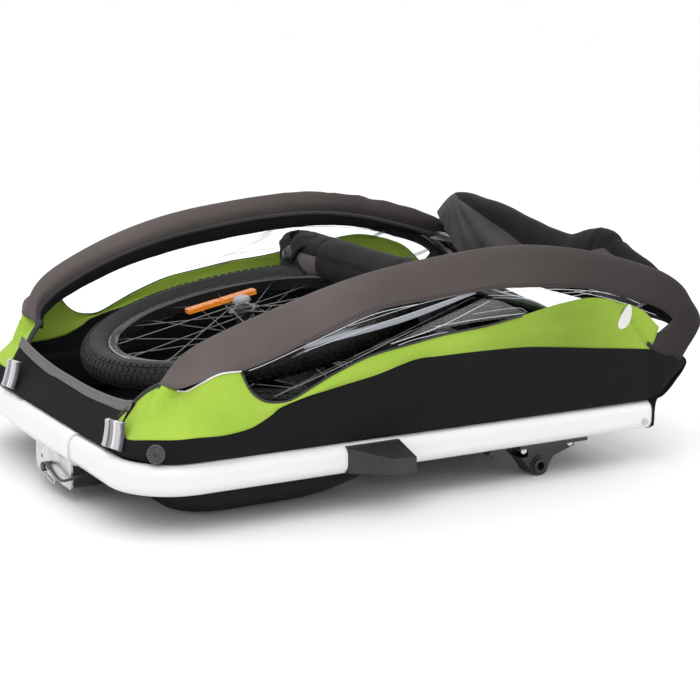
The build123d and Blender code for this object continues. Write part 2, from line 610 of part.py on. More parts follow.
window_foot = [(-298.0, 222.0), (-271.0, 181.0), (-226.0, 176.0), (-140.0, 213.0), (6.0, 237.0), (148.0, 247.0),
               (226.0, 264.0), (309.0, 254.0), (389.0, 212.0)]
band_outline = [(x, z + 1.0) for x, z in waist_line] + [(398.0, 208.0)]
band_outline += [(x, z - 0.5) for x, z in reversed(window_foot)] + [(-318.0, 236.0), (-344.0, 200.0)]
hoop_room = mirror(tube_along(hoop_points, HOOP_SLEEVE_RADIUS + SOFT_GAP), about=Plane.XZ)
band = side_profile(band_outline, -BAND_OUTER_Y, -PANEL_INNER_Y) - hoop_room
band = max(band.solids(), key=lambda solid: solid.volume)
save("side_bands", *both_sides(band))

window_outline = window_foot + [(x, z) for x, _, z in reversed(hoop_points[4:13])]
window = side_profile(window_outline, -BAND_OUTER_Y, -BAND_OUTER_Y + 1.5) - hoop_room
window = max(window.solids(), key=lambda solid: solid.volume)
save("side_windows", *both_sides(window))

# ---------------------------------------------------------------- backrest and headrest
frame_points = [
    (REAR_BAR_X, -BACKREST_Y, REAR_BAR_Z),
    (REAR_BAR_X - 20.0, -BACKREST_Y, REAR_BAR_Z + 24.0),
    (287.0, -BACKREST_Y, 210.0),
    (204.0, -BACKREST_Y, 252.0),
    (RIDGE_X, -BACKREST_Y, RIDGE_Z),
    (RIDGE_X, BACKREST_Y, RIDGE_Z),
    (204.0, BACKREST_Y, 252.0),
    (287.0, BACKREST_Y, 210.0),
    (REAR_BAR_X - 20.0, BACKREST_Y, REAR_BAR_Z + 24.0),
    (REAR_BAR_X, BACKREST_Y, REAR_BAR_Z),
]
BACKREST_BEND = 26.0
frame_radii = [min(radius, 120.0) for radius in arc_radii(frame_points)]
frame_radii[3] = BACKREST_BEND
frame_radii[4] = BACKREST_BEND
backrest_frame = tube_along(frame_points, BACKREST_TUBE_RADIUS, radii=frame_radii)
for side in (NEAR, FAR):
    inner = side * (BACKREST_Y - BACKREST_TUBE_RADIUS)
    outer = side * (BACKREST_Y + BACKREST_TUBE_RADIUS)
    backrest_frame += rod((REAR_BAR_X, inner, REAR_BAR_Z), (REAR_BAR_X, outer, REAR_BAR_Z), REAR_BAR_RADIUS + 5.0)
backrest_frame -= rod((REAR_BAR_X, -320.0, REAR_BAR_Z), (REAR_BAR_X, 320.0, REAR_BAR_Z),
                      REAR_BAR_RADIUS + RUNNING_GAP)
save("backrest_frame", backrest_frame)

pad_face = [(338.0, 142.0), (287.0, 217.0), (204.0, 260.0), (119.0, 286.0)]
pad_back = [(121.0, 286.0 - PAD_THICKNESS - 1.0), (200.0, 260.0 - PAD_THICKNESS), (279.0, 217.0 - PAD_THICKNESS),
            (328.0, 142.0 - PAD_THICKNESS * 0.6)]
backrest_half = BACKREST_Y - BACKREST_TUBE_RADIUS - 4.0
backrest_pad = side_profile(pad_face + pad_back, -backrest_half, backrest_half)
save("backrest_pad", backrest_pad)

STRAP_THICKNESS = 2.0
STRAP_WIDTH = 38.0
strap_face = [(x, z + 0.6 + STRAP_THICKNESS) for x, z in pad_face[1:]]
strap_back = [(x, z + 0.6) for x, z in reversed(pad_face[1:])]
straps = []
for middle_y in (-150.0, -70.0, 70.0, 150.0):
    straps.append(side_profile(strap_face + strap_back, middle_y - STRAP_WIDTH / 2, middle_y + STRAP_WIDTH / 2))
save("harness_straps", *straps)

BUCKLE_RADIUS = 15.0
pad_slope = atan2(260.0 - 286.0, 204.0 - 119.0)
buckle_plane = Plane(origin=(150.0, 240.0, 276.8), x_dir=(cos(pad_slope), 0, sin(pad_slope)),
                     z_dir=(-sin(pad_slope), 0, cos(pad_slope)))
buckle = extrude(buckle_plane * Circle(BUCKLE_RADIUS), 9.0)
save("harness_buckle", fillet(buckle.edges().group_by(Axis.Z)[-1], 3.0))

HEADREST_HALF = 250.0
WING_INNER_Y = 218.0
ring = rod((RIDGE_X, -HEADREST_HALF, RIDGE_Z), (RIDGE_X, HEADREST_HALF, RIDGE_Z), BACKREST_TUBE_RADIUS + 3.5)
flap = block(62.0, RIDGE_X, -HEADREST_HALF, HEADREST_HALF, RIDGE_Z + 5.0, RIDGE_Z + 13.0)
headrest = ring + flap
for side in (NEAR, FAR):
    headrest += block(62.0, 74.0, side * WING_INNER_Y, side * HEADREST_HALF, 236.0, RIDGE_Z + 13.0)
headrest -= rod((RIDGE_X, -300.0, RIDGE_Z), (RIDGE_X, 300.0, RIDGE_Z), BACKREST_TUBE_RADIUS + SOFT_GAP)
save("headrest_flap", headrest)


# ---------------------------------------------------------------- wheels
def turned(points):
    """A closed outline in radius and height, turned about the wheel's axis."""
    return revolve(Plane.XZ * make_face(Polyline(*points, close=True)), Axis.Z, 360)


def tyre():
    middle = TYRE_RADIUS - TYRE_SECTION
    section = Pos(middle, 0) * (Circle(TYRE_SECTION) - Circle(TYRE_SECTION - TYRE_WALL))
    bead_half = RIM_HALF_WIDTH - RIM_WALL - SOFT_GAP
    for sign in (-1, 1):
        section += Pos(RIM_OUTER + 1.0, sign * (bead_half - 1.9)) * Rectangle(13.0, 3.8)
    section -= Pos(RIM_OUTER, 0) * Rectangle(14.0, 2 * (bead_half - 3.8))
    for sign in (-1, 1):
        section -= Pos(RIM_OUTER - 6.0, sign * (bead_half + 10.0)) * Rectangle(13.0, 20.0)
    return revolve(Plane.XZ * section, Axis.Z, 360)


def rim():
    inner_floor = RIM_INNER + RIM_WALL
    inner_side = RIM_HALF_WIDTH - RIM_WALL
    half = [(RIM_INNER, RIM_HALF_WIDTH - 3.0), (RIM_INNER + 3.0, RIM_HALF_WIDTH), (RIM_OUTER, RIM_HALF_WIDTH),
            (RIM_OUTER, inner_side), (inner_floor, inner_side)]
    return turned(half + [(r, -z) for r, z in reversed(half)])


def spokes():
    """Laced spokes: each flange has half, leading and trailing in turn."""
    bars = []
    pitch = 360.0 / SPOKE_COUNT
    for number in range(SPOKE_COUNT):
        flange = 1 if number % 2 == 0 else -1
        lead = 1 if (number // 2) % 2 == 0 else -1
        rim_angle = radians(number * pitch)
        hub_angle = rim_angle - radians(lead * 62.0)
        hub_r = HUB_FLANGE_RADIUS - 3.0
        hub_z = flange * (HUB_HALF_WIDTH - (1.3 if lead > 0 else 8.5))
        start = (hub_r * cos(hub_angle), hub_r * sin(hub_angle), hub_z)
        end = ((RIM_INNER - 0.3) * cos(rim_angle), (RIM_INNER - 0.3) * sin(rim_angle), flange * 3.0)
        bars.append(rod(start, end, SPOKE_RADIUS))
    return bars


def hub_shell():
    half = [(HUB_FLANGE_RADIUS, HUB_HALF_WIDTH - 3.1), (HUB_FLANGE_RADIUS, HUB_HALF_WIDTH - 5.9),
            (HUB_BARREL_RADIUS, HUB_HALF_WIDTH - 9.0)]
    cap = [(AXLE_RADIUS + RUNNING_GAP, HUB_HALF_WIDTH), (HUB_BARREL_RADIUS, HUB_HALF_WIDTH),
           (HUB_BARREL_RADIUS, HUB_HALF_WIDTH - 3.1)]
    upper = cap + half
    return turned(upper + [(r, -z) for r, z in reversed(upper)])


NUT_GAP = 0.3
NUT_HEIGHT = 3.5
STEM_RADIUS = 3.0
BUTTON_FOOT = HUB_HALF_WIDTH + NUT_GAP + NUT_HEIGHT + BUTTON_TRAVEL + 0.5


def wheel_axle():
    """A hollow axle with a collar on each side of the hub and a stub below it."""
    top = HUB_HALF_WIDTH + NUT_GAP
    outline = [(STEM_RADIUS + RUNNING_GAP, top + NUT_HEIGHT), (10.0, top + NUT_HEIGHT), (10.0, top),
               (AXLE_RADIUS, top), (AXLE_RADIUS, -top), (10.0, -top), (10.0, -top - NUT_HEIGHT),
               (AXLE_RADIUS, -top - NUT_HEIGHT), (AXLE_RADIUS, -HUB_HALF_WIDTH - STUB_LENGTH + 2.0),
               (AXLE_RADIUS - 2.0, -HUB_HALF_WIDTH - STUB_LENGTH), (0, -HUB_HALF_WIDTH - STUB_LENGTH),
               (0, -20.0), (STEM_RADIUS + RUNNING_GAP, -20.0)]
    return turned(outline)


def release_button():
    """A domed push button on a stem that runs in the axle."""
    dome_top = BUTTON_FOOT + 8.0
    dome = Pos(0, 0, BUTTON_FOOT) * extrude(Circle(BUTTON_RADIUS), dome_top - BUTTON_FOOT)
    dome = fillet(dome.edges().group_by(Axis.Z)[-1], 6.5)
    return dome + rod((0, 0, -15.0), (0, 0, BUTTON_FOOT + 1.0), STEM_RADIUS)


def spoke_reflector():
    """A long reflector bar clipped over the upper spokes."""
    bar = block(-62.0, 56.0, 64.0, 82.0, 20.6, 27.2)
    bar = fillet(bar.edges().filter_by(Axis.Z), 3.0)
    return bar - block(-4.0, -1.0, 60.0, 86.0, 25.2, 28.0)


def stowed(shape, centre, tilt):
    return Pos(*centre) * Rot(*tilt) * shape


wheel_places = {
    "upper": (UPPER_WHEEL_CENTRE, (0, -UPPER_WHEEL_TILT, 0)),
    "lower": (LOWER_WHEEL_CENTRE, (-LOWER_WHEEL_TILT, 0, 0)),
}
wheel_pieces = {
    "tyre": [tyre()],
    "rim": [rim()],
    "spokes": spokes(),
    "hub": [hub_shell()],
    "axle": [wheel_axle()],
    "release_button": [release_button()],
    "reflector": [spoke_reflector()],
}
for place, (centre, tilt) in wheel_places.items():
    for piece, shapes in wheel_pieces.items():
        save(f"{place}_{piece}", *[stowed(shape, centre, tilt) for shape in shapes])

print("nodes:", len(written))
print("hoop arcs:", [round(radius) for radius in arc_radii(hoop_points)])
print("tether arcs:", [round(radius) for radius in arc_radii(tether_points)])
tether_length = route(tether_points).length
tether_volume = tube_along(tether_points, TETHER_RADIUS).volume
print("tether length:", round(tether_length, 1), "volume ratio:",
      round(tether_volume / (tether_length * 3.14159265 * TETHER_RADIUS ** 2), 4))
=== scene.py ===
import math
import bpy
import bmesh
from mathutils import Matrix, Vector, noise


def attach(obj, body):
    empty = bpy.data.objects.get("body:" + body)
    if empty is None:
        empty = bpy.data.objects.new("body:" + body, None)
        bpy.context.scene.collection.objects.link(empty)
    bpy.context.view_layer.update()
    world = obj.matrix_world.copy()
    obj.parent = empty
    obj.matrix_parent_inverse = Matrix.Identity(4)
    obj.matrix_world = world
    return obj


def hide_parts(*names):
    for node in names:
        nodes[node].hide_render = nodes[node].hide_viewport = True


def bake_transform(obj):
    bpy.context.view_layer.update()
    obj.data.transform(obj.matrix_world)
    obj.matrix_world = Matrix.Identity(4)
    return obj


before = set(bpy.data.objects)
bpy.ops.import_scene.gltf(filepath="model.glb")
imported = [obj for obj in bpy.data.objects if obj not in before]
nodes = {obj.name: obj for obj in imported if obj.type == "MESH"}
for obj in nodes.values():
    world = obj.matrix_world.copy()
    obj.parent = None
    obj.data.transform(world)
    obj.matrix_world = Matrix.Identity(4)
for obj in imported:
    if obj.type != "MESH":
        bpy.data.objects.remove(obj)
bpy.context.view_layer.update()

NEAR = -1
FAR = 1
SIDES = ((NEAR, "left"), (FAR, "right"))
MM = 0.001
UP = Vector((0, 0, 1))

# ------------------------------------------------------------ camera, floor and studio lights
CAMERA_PLACE = (-1.3362, -2.5289, 0.7721)
CAMERA_YAW = math.radians(28.8)
CAMERA_PITCH = math.radians(12.2)
camera_data = bpy.data.cameras.new("studio_camera")
camera_data.lens = 97.71
camera_data.sensor_width = 36.0
camera = bpy.data.objects.new("studio_camera", camera_data)
camera.location = CAMERA_PLACE
camera.rotation_euler = (math.pi / 2 - CAMERA_PITCH, 0.0, -CAMERA_YAW)
bpy.context.scene.collection.objects.link(camera)
bpy.context.scene.camera = camera


def soft_light(name, place, aim, size, power):
    data = bpy.data.lights.new(name, "AREA")
    data.energy = power
    data.shape = "RECTANGLE"
    data.size, data.size_y = size
    light = bpy.data.objects.new(name, data)
    light.location = place
    light.rotation_euler = (Vector(aim) - Vector(place)).to_track_quat("-Z", "Y").to_euler()
    bpy.context.scene.collection.objects.link(light)
    return light


soft_light("key_panel", (-1.2, -1.6, 2.1), (0.0, 0.0, 0.15), (1.8, 1.4), 17.0)
soft_light("fill_panel", (2.2, -1.6, 1.2), (0.0, 0.0, 0.15), (1.6, 1.4), 9.0)
soft_light("back_panel", (0.6, 2.2, 1.9), (0.0, 0.0, 0.2), (2.2, 1.2), 9.0)
soft_light("top_panel", (0.0, 0.0, 2.6), (0.0, 0.0, 0.0), (2.4, 2.0), 7.0)
world = bpy.data.worlds.new("studio_world")
world.use_nodes = True
world.node_tree.nodes["Background"].inputs["Color"].default_value = (1.0, 1.0, 1.0, 1.0)
world.node_tree.nodes["Background"].inputs["Strength"].default_value = 1.12
bpy.context.scene.world = world
bpy.context.scene.view_settings.view_transform = "Standard"


# ------------------------------------------------------------ material helpers
def add(tree, kind, wired=None, **settings):
    """Adds a node. Each wired value is a socket to link or a plain value to set."""
    node = tree.nodes.new(kind)
    for key, value in settings.items():
        setattr(node, key, value)
    for key, value in (wired or {}).items():
        if isinstance(value, bpy.types.NodeSocket):
            tree.links.new(value, node.inputs[key])
        else:
            node.inputs[key].default_value = value
    return node


def finish_shader(name, roughness=0.5, metallic=0.0, **plain):
    """A new material with its plain socket values set."""
    material = bpy.data.materials.new(name)
    material.use_nodes = True
    tree = material.node_tree
    shader = tree.nodes["Principled BSDF"]
    shader.inputs["Roughness"].default_value = roughness
    shader.inputs["Metallic"].default_value = metallic
    for key, value in plain.items():
        shader.inputs[key.replace("_", " ")].default_value = value
    return material, tree, shader


def place_on(tree, stretch=(1, 1, 1), by="Object", turn=(0, 0, 0), centre=(0, 0, 0)):
    coords = add(tree, "ShaderNodeTexCoord")
    moved = add(tree, "ShaderNodeMapping", {"Vector": coords.outputs[by], "Location": centre},
                vector_type="TEXTURE")
    moved.inputs["Rotation"].default_value = turn
    scaled = add(tree, "ShaderNodeMapping", {"Vector": moved.outputs[0], "Scale": stretch})
    return scaled.outputs[0]


def grain(tree, place, scale, detail=3.0, rough=0.55):
    made = add(tree, "ShaderNodeTexNoise", {"Vector": place, "Scale": scale, "Detail": detail,
                                            "Roughness": rough})
    return made.outputs["Fac"]


def ramp(tree, fac, stops):
    node = add(tree, "ShaderNodeValToRGB", {"Fac": fac})
    elements = node.color_ramp.elements
    for index, (where, colour) in enumerate(stops):
        if index >= 2:
            elements.new(where)
        elements[index].position = where
        elements[index].color = (*colour, 1.0) if len(colour) == 3 else colour
    return node.outputs["Color"]


def level(tree, fac, low, high, to_low=0.0, to_high=1.0):
    node = add(tree, "ShaderNodeMapRange", {"Value": fac, "From Min": low, "From Max": high,
                                            "To Min": to_low, "To Max": to_high})
    return node.outputs["Result"]


def reckon(tree, sort, first, second):
    return add(tree, "ShaderNodeMath", {0: first, 1: second}, operation=sort).outputs[0]


def mixed(tree, fac, first, second, sort="MIX"):
    node = add(tree, "ShaderNodeMix", data_type="RGBA", blend_type=sort)
    for index, value in ((0, fac), (6, first), (7, second)):
        if isinstance(value, bpy.types.NodeSocket):
            tree.links.new(value, node.inputs[index])
        else:
            node.inputs[index].default_value = value if index == 0 else (*value, 1.0)
    return node.outputs[2]


def raised(tree, height, distance, under=None, strength=1.0):
    wired = {"Height": height, "Distance": distance, "Strength": strength}
    if under is not None:
        wired["Normal"] = under
    return add(tree, "ShaderNodeBump", wired).outputs[0]


# the wave texture's scale that sets its bands one metre apart
WAVE_UNIT = 0.314


def weave_height(tree, pitch, by="UV"):
    """Over-and-under threads: two sets of bands crossed, pitch metres apart."""
    place = place_on(tree, (1, 1, 1), by)
    bands = []
    for direction in ("X", "Y"):
        wave = add(tree, "ShaderNodeTexWave", {"Vector": place, "Scale": WAVE_UNIT / pitch, "Distortion": 0.4,
                                               "Detail": 1.0, "Detail Scale": 2.0},
                   bands_direction=direction, wave_profile="SIN")
        bands.append(wave.outputs["Fac"])
    return reckon(tree, "MULTIPLY", bands[0], bands[1])


def woven(name, colour, shade, pitch=0.0011, roughness=0.82, sheen=0.25, crease=0.0012, by="UV", second=None,
          painted_shading_stops=None):
    """Woven cloth: threads, faint slubs, soft creases and uneven colour. second is (colour, its mask maker);
    the painted shading stops are (x in metres, share of the colour): as painted shade they darken the cloth
    towards the rear of the trailer, and they lighten it where a share is above 1."""
    material, tree, shader = finish_shader(name, roughness, Sheen_Weight=sheen, Sheen_Roughness=0.45,
                                           Specular_IOR_Level=0.16)
    place = place_on(tree)
    broad = grain(tree, place, 7.0, 3.0)
    cloth_colour = ramp(tree, broad, [(0.32, shade), (0.68, colour)])
    if second:
        cloth_colour = mixed(tree, second[1](tree), cloth_colour, second[0])
    if painted_shading_stops:
        # painted shading: a ramp along x multiplies the colour, darker towards the rear
        apart = add(tree, "ShaderNodeSeparateXYZ", {0: place})
        stops = [(x + 0.5, (share, share, share)) for x, share in painted_shading_stops]
        painted_shading = ramp(tree, reckon(tree, "ADD", apart.outputs[0], 0.5), stops)
        cloth_colour = mixed(tree, 1.0, cloth_colour, painted_shading, "MULTIPLY")
    threads = weave_height(tree, pitch, by)
    # painted shade: the cloth is a little darker where the threads lie low, between them
    thread_gap_shade = ramp(tree, threads, [(0.0, (0.90, 0.90, 0.90)), (0.7, (1.0, 1.0, 1.0))])
    cloth_colour = mixed(tree, 0.35, cloth_colour, thread_gap_shade, "MULTIPLY")
    slub = grain(tree, place_on(tree, (160, 160, 700)), 1.0, 2.0)
    slub_colour = ramp(tree, slub, [(0.35, (0.6, 0.6, 0.6)), (0.65, (1, 1, 1))])
    cloth_colour = mixed(tree, 0.18, cloth_colour, slub_colour, "MULTIPLY")
    tree.links.new(cloth_colour, shader.inputs["Base Color"])
    tree.links.new(level(tree, broad, 0.2, 0.8, roughness - 0.08, roughness + 0.08),
                   shader.inputs["Roughness"])
    soft = raised(tree, grain(tree, place_on(tree, (1.0, 0.6, 1.7)), 16.0, 2.0), crease, strength=0.6)
    tree.links.new(raised(tree, threads, 0.00006, soft), shader.inputs["Normal"])
    return material


def moulded(name, colour, roughness=0.5, stipple=0.00012, scale=900.0):
    """Moulded plastic with a fine stipple, and paler, rougher patches here and there."""
    material, tree, shader = finish_shader(name, roughness)
    place = place_on(tree)
    broad = grain(tree, place, 22.0, 3.0)
    paler = tuple(min(1.0, c * 1.35 + 0.006) for c in colour)
    tree.links.new(ramp(tree, broad, [(0.35, colour), (0.75, paler)]), shader.inputs["Base Color"])
    tree.links.new(level(tree, broad, 0.2, 0.8, roughness - 0.09, roughness + 0.09),
                   shader.inputs["Roughness"])
    tree.links.new(raised(tree, grain(tree, place, scale, 2.0), stipple), shader.inputs["Normal"])
    return material


def metal(name, colour, roughness=0.3, brushed=(30, 30, 900), scratch=0.00004):
    """Metal with fine drawn lines and faint cloudy handling marks."""
    material, tree, shader = finish_shader(name, roughness, 1.0)
    lines = grain(tree, place_on(tree, brushed), 1.0, 3.0)
    cloud = grain(tree, place_on(tree), 35.0, 3.0)
    darker = tuple(c * 0.72 for c in colour)
    tree.links.new(ramp(tree, cloud, [(0.3, darker), (0.6, colour)]), shader.inputs["Base Color"])
    tree.links.new(level(tree, lines, 0.25, 0.75, roughness - 0.08, roughness + 0.1),
                   shader.inputs["Roughness"])
    tree.links.new(raised(tree, lines, scratch), shader.inputs["Normal"])
    return material


def powder_coat(name, colour, roughness, coat):
    """Sprayed coat with slight orange peel under a clear gloss."""
    material, tree, shader = finish_shader(name, roughness, Coat_Weight=coat, Coat_Roughness=0.08)
    place = place_on(tree)
    cloud = grain(tree, place, 9.0, 2.0)
    dull = tuple(c * 0.99 for c in colour)
    tree.links.new(ramp(tree, cloud, [(0.35, dull), (0.65, colour)]), shader.inputs["Base Color"])
    tree.links.new(level(tree, cloud, 0.2, 0.8, roughness - 0.05, roughness + 0.05),
                   shader.inputs["Roughness"])
    tree.links.new(raised(tree, grain(tree, place, 420.0, 1.0), 0.00004), shader.inputs["Normal"])
    return material


WHITE_PAINT = powder_coat("white_gloss_paint", (0.70, 0.695, 0.71), 0.3, 0.6)
BLACK_PAINT = powder_coat("satin_black_paint", (0.012, 0.012, 0.013), 0.42, 0.15)
BLACK_PLASTIC = moulded("black_moulding", (0.012, 0.012, 0.013), 0.48)
KNOB_PLASTIC = moulded("knob_moulding", (0.010, 0.010, 0.011), 0.35)
GREY_PLASTIC = moulded("grey_dome_plastic", (0.20, 0.205, 0.22), 0.38)
HUB_PLASTIC = moulded("hub_black", (0.02, 0.02, 0.022), 0.35)
ZINC = metal("zinc_plate", (0.62, 0.63, 0.65), 0.28)
BRIGHT_STEEL = metal("bright_steel", (0.70, 0.71, 0.73), 0.22, (500, 500, 40))
DARK_STEEL = metal("dark_steel", (0.16, 0.16, 0.17), 0.34, (500, 500, 40))
GREY_TUBE = metal("grey_anodised_tube", (0.22, 0.23, 0.25), 0.42)
# painted shading: the lime and warm grey cloths are darkened towards the rear, and the lime is lightened at
# its front, as the light falls on them
LIME = woven("lime_cloth", (0.345, 0.505, 0.062), (0.285, 0.44, 0.046), 0.0012, 0.82, 0.02, 0.0012,
             painted_shading_stops=[(-0.40, 1.12), (-0.22, 1.0), (0.02, 0.92), (0.12, 0.74), (0.22, 0.62), (0.34, 0.86)])
WARM_GREY = woven("warm_grey_cloth", (0.142, 0.119, 0.115), (0.112, 0.093, 0.091), 0.0010, 0.88, 0.02, 0.0018,
                  painted_shading_stops=[(-0.37, 0.92), (-0.15, 0.84), (0.05, 0.62), (0.20, 0.44), (0.36, 0.31),
                         (0.45, 0.17)])
BLACK_CLOTH = woven("black_cloth", (0.0080, 0.0080, 0.0084), (0.0050, 0.0050, 0.0054), 0.0012, 0.88, 0.01,
                    0.0022)
CHARCOAL = woven("charcoal_padding", (0.015, 0.015, 0.0165), (0.010, 0.010, 0.011), 0.0015, 0.88, 0.03,
                 0.0015, by="Object")
SEAT_GREY = woven("grey_seat_cloth", (0.135, 0.120, 0.118), (0.105, 0.094, 0.093), 0.0014, 0.88, 0.03, 0.0015,
                  by="Object")
LINING = woven("bluish_lining", (0.090, 0.083, 0.095), (0.062, 0.057, 0.067), 0.0009, 0.6, 0.06, 0.0025)


def lining_mask(tree):
    """1 on the heap's front face: below a line that falls from the far end, and again at the near end."""
    apart = add(tree, "ShaderNodeSeparateXYZ", {0: place_on(tree)})
    along, up = apart.outputs[1], apart.outputs[2]
    far_line = reckon(tree, "ADD", reckon(tree, "MULTIPLY", along, 0.23), 0.2845)
    near_gap = reckon(tree, "ABSOLUTE", reckon(tree, "ADD", along, 0.20), 0.0)
    near_line = reckon(tree, "SUBTRACT", 0.312, reckon(tree, "MULTIPLY", near_gap, 0.30))
    height = reckon(tree, "SUBTRACT", reckon(tree, "MAXIMUM", far_line, near_line), up)
    front = level(tree, apart.outputs[0], 0.404, 0.400)
    return reckon(tree, "MULTIPLY", level(tree, height, 0.0, 0.0016), front)


HEAP = woven("heap_cloth", (0.0105, 0.0105, 0.0110), (0.0070, 0.0070, 0.0074), 0.0012, 0.8, 0.02, 0.0022,
             second=((0.080, 0.073, 0.083), lining_mask))
PIPING = woven("white_piping", (0.72, 0.72, 0.70), (0.62, 0.62, 0.60), 0.0008, 0.7, 0.1, 0.0002)
EDGE_BINDING = woven("charcoal_binding", (0.050, 0.049, 0.053), (0.038, 0.037, 0.041), 0.0011, 0.7, 0.04,
                     0.0004)
BLACK_WEBBING = woven("black_webbing", (0.014, 0.014, 0.016), (0.010, 0.010, 0.011), 0.0018, 0.75, 0.03,
                      0.0004, by="Object")
THREAD = woven("grey_thread", (0.22, 0.22, 0.23), (0.16, 0.16, 0.17), 0.0008, 0.7, 0.1, 0.0001, by="Object")


# metres between ribs and between cross threads
RIB_PITCH = 0.0026
PICK_PITCH = 0.0016


def ribbed_webbing():
    """Grey hem webbing with ribs along its length."""
    material, tree, shader = finish_shader("ribbed_grey_webbing", 0.8, Specular_IOR_Level=0.2)
    place = place_on(tree, (1, 1, 1), "UV")
    ribs = add(tree, "ShaderNodeTexWave", {"Vector": place, "Scale": WAVE_UNIT / RIB_PITCH,
                                           "Distortion": 0.0}, bands_direction="Y")
    picks = add(tree, "ShaderNodeTexWave", {"Vector": place, "Scale": WAVE_UNIT / PICK_PITCH,
                                            "Distortion": 0.3}, bands_direction="X")
    # painted shade: the webbing is darker in the grooves between its ribs and lighter on their tops
    colour = ramp(tree, ribs.outputs["Fac"], [(0.0, (0.105, 0.100, 0.098)), (0.6, (0.205, 0.195, 0.190))])
    tree.links.new(colour, shader.inputs["Base Color"])
    fine = raised(tree, picks.outputs["Fac"], 0.0002)
    tree.links.new(raised(tree, ribs.outputs["Fac"], 0.0006, fine), shader.inputs["Normal"])
    return material


def clear_film(name, thick, low, high):
    """Flexible film: mostly clear, with long pale streaks painted into its colour and opacity as highlights
    along its creases; thick is how far its hazy parts cover.
    """
    material, tree, shader = finish_shader(name, 0.2, IOR=1.45)
    shader.inputs["Specular IOR Level"].default_value = 0.45
    place = place_on(tree, (5.0, 5.0, 62.0), "Object", (0.0, math.radians(-17.0), 0.0))
    streak = grain(tree, place, 1.0, 2.5, 0.6)
    broad = grain(tree, place_on(tree, (3.0, 3.0, 22.0), "Object", (0.0, math.radians(-20.0), 0.0)), 1.0, 2.0)
    # painted highlight: along the streaks the film is paler and less clear, for light caught on its creases
    painted_highlight = level(tree, streak, 0.63, 0.73)
    haze = level(tree, broad, low, high)
    shown = reckon(tree, "ADD", reckon(tree, "MULTIPLY", painted_highlight, 0.5), reckon(tree, "MULTIPLY", haze, thick))
    tree.links.new(shown, shader.inputs["Alpha"])
    tree.links.new(ramp(tree, painted_highlight, [(0.0, (0.15, 0.155, 0.16)), (1.0, (0.36, 0.37, 0.38))]),
                   shader.inputs["Base Color"])
    tree.links.new(raised(tree, broad, 0.0012), shader.inputs["Normal"])
    return material


def tyre_rubber():
    material, tree, shader = finish_shader("tyre_rubber", 0.7, Specular_IOR_Level=0.22)
    place = place_on(tree)
    dust = grain(tree, place, 26.0, 4.0)
    tree.links.new(ramp(tree, dust, [(0.35, (0.010, 0.010, 0.0105)), (0.75, (0.026, 0.026, 0.027))]),
                   shader.inputs["Base Color"])
    tree.links.new(level(tree, dust, 0.3, 0.7, 0.52, 0.75), shader.inputs["Roughness"])
    tree.links.new(raised(tree, grain(tree, place, 300.0, 2.0), 0.0002), shader.inputs["Normal"])
    return material


def rim_finish(name, centre, turn, edge_light):
    """Gloss black rim with a metallic edge where it stands widest from the hub; how pale that edge is, given
    per wheel, is painted light.
    """
    material, tree, shader = finish_shader(name, 0.3, 0.0, Coat_Weight=0.25, Coat_Roughness=0.22)
    local = place_on(tree, (1, 1, 1), "Object", turn, centre)
    split = add(tree, "ShaderNodeSeparateXYZ", {0: local})
    squares = [reckon(tree, "MULTIPLY", split.outputs[axis], split.outputs[axis]) for axis in (0, 1)]
    radial = reckon(tree, "SQRT", reckon(tree, "ADD", *squares), 0.0)
    edge = level(tree, radial, 0.2065, 0.2072)
    tree.links.new(mixed(tree, edge, (0.012, 0.012, 0.013), (edge_light, edge_light, edge_light * 1.02)),
                   shader.inputs["Base Color"])
    tree.links.new(edge, shader.inputs["Metallic"])
    fine = grain(tree, place_on(tree), 240.0, 2.0)
    tree.links.new(level(tree, fine, 0.3, 0.7, 0.16, 0.3), shader.inputs["Roughness"])
    tree.links.new(raised(tree, fine, 0.000004), shader.inputs["Normal"])
    return material


def amber_prisms():
    """Amber reflector: small prism cells under a clear face."""
    material, tree, shader = finish_shader("amber_prisms", 0.18, Coat_Weight=1.0, Coat_Roughness=0.04)
    cells = add(tree, "ShaderNodeTexVoronoi", {"Vector": place_on(tree), "Scale": 330.0})
    amber = ramp(tree, cells.outputs["Distance"], [(0.0, (0.95, 0.36, 0.03)), (0.8, (0.66, 0.15, 0.01))])
    tree.links.new(amber, shader.inputs["Base Color"])
    tree.links.new(raised(tree, cells.outputs["Distance"], 0.0006), shader.inputs["Normal"])
    # painted glow: the reflector is given a faint amber emission, though it is no lamp
    shader.inputs["Emission Color"].default_value = (0.9, 0.28, 0.02, 1.0)
    shader.inputs["Emission Strength"].default_value = 0.12
    return material


WEBBING = ribbed_webbing()
FILM = clear_film("clear_film", 0.0, 0.55, 0.75)
HAZY_FILM = clear_film("hazy_film", 0.75, 0.2, 0.7)
TYRE = tyre_rubber()
AMBER = amber_prisms()


# ------------------------------------------------------------ shape helpers
def flow(points, steps):
    """A smooth line through the points, steps pieces between each pair."""
    line = [Vector(p) for p in points]
    ends = [line[0] * 2 - line[1]] + line + [line[-1] * 2 - line[-2]]
    made = []
    for index in range(len(line) - 1):
        a, b, c, d = ends[index:index + 4]
        for step in range(steps):
            t = step / steps
            made.append(0.5 * (2 * b + (c - a) * t + (2 * a - 5 * b + 4 * c - d) * t * t
                               + (3 * b - a - 3 * c + d) * t ** 3))
    made.append(line[-1].copy())
    return made


def weave_rows(rows, along, across):
    """A fine grid from a few rows of points: rows go across the cloth, points along it."""
    lines = [flow(row, along) for row in rows]
    columns = [flow([line[index] for line in lines], across) for index in range(len(lines[0]))]
    return [list(row) for row in zip(*columns)]


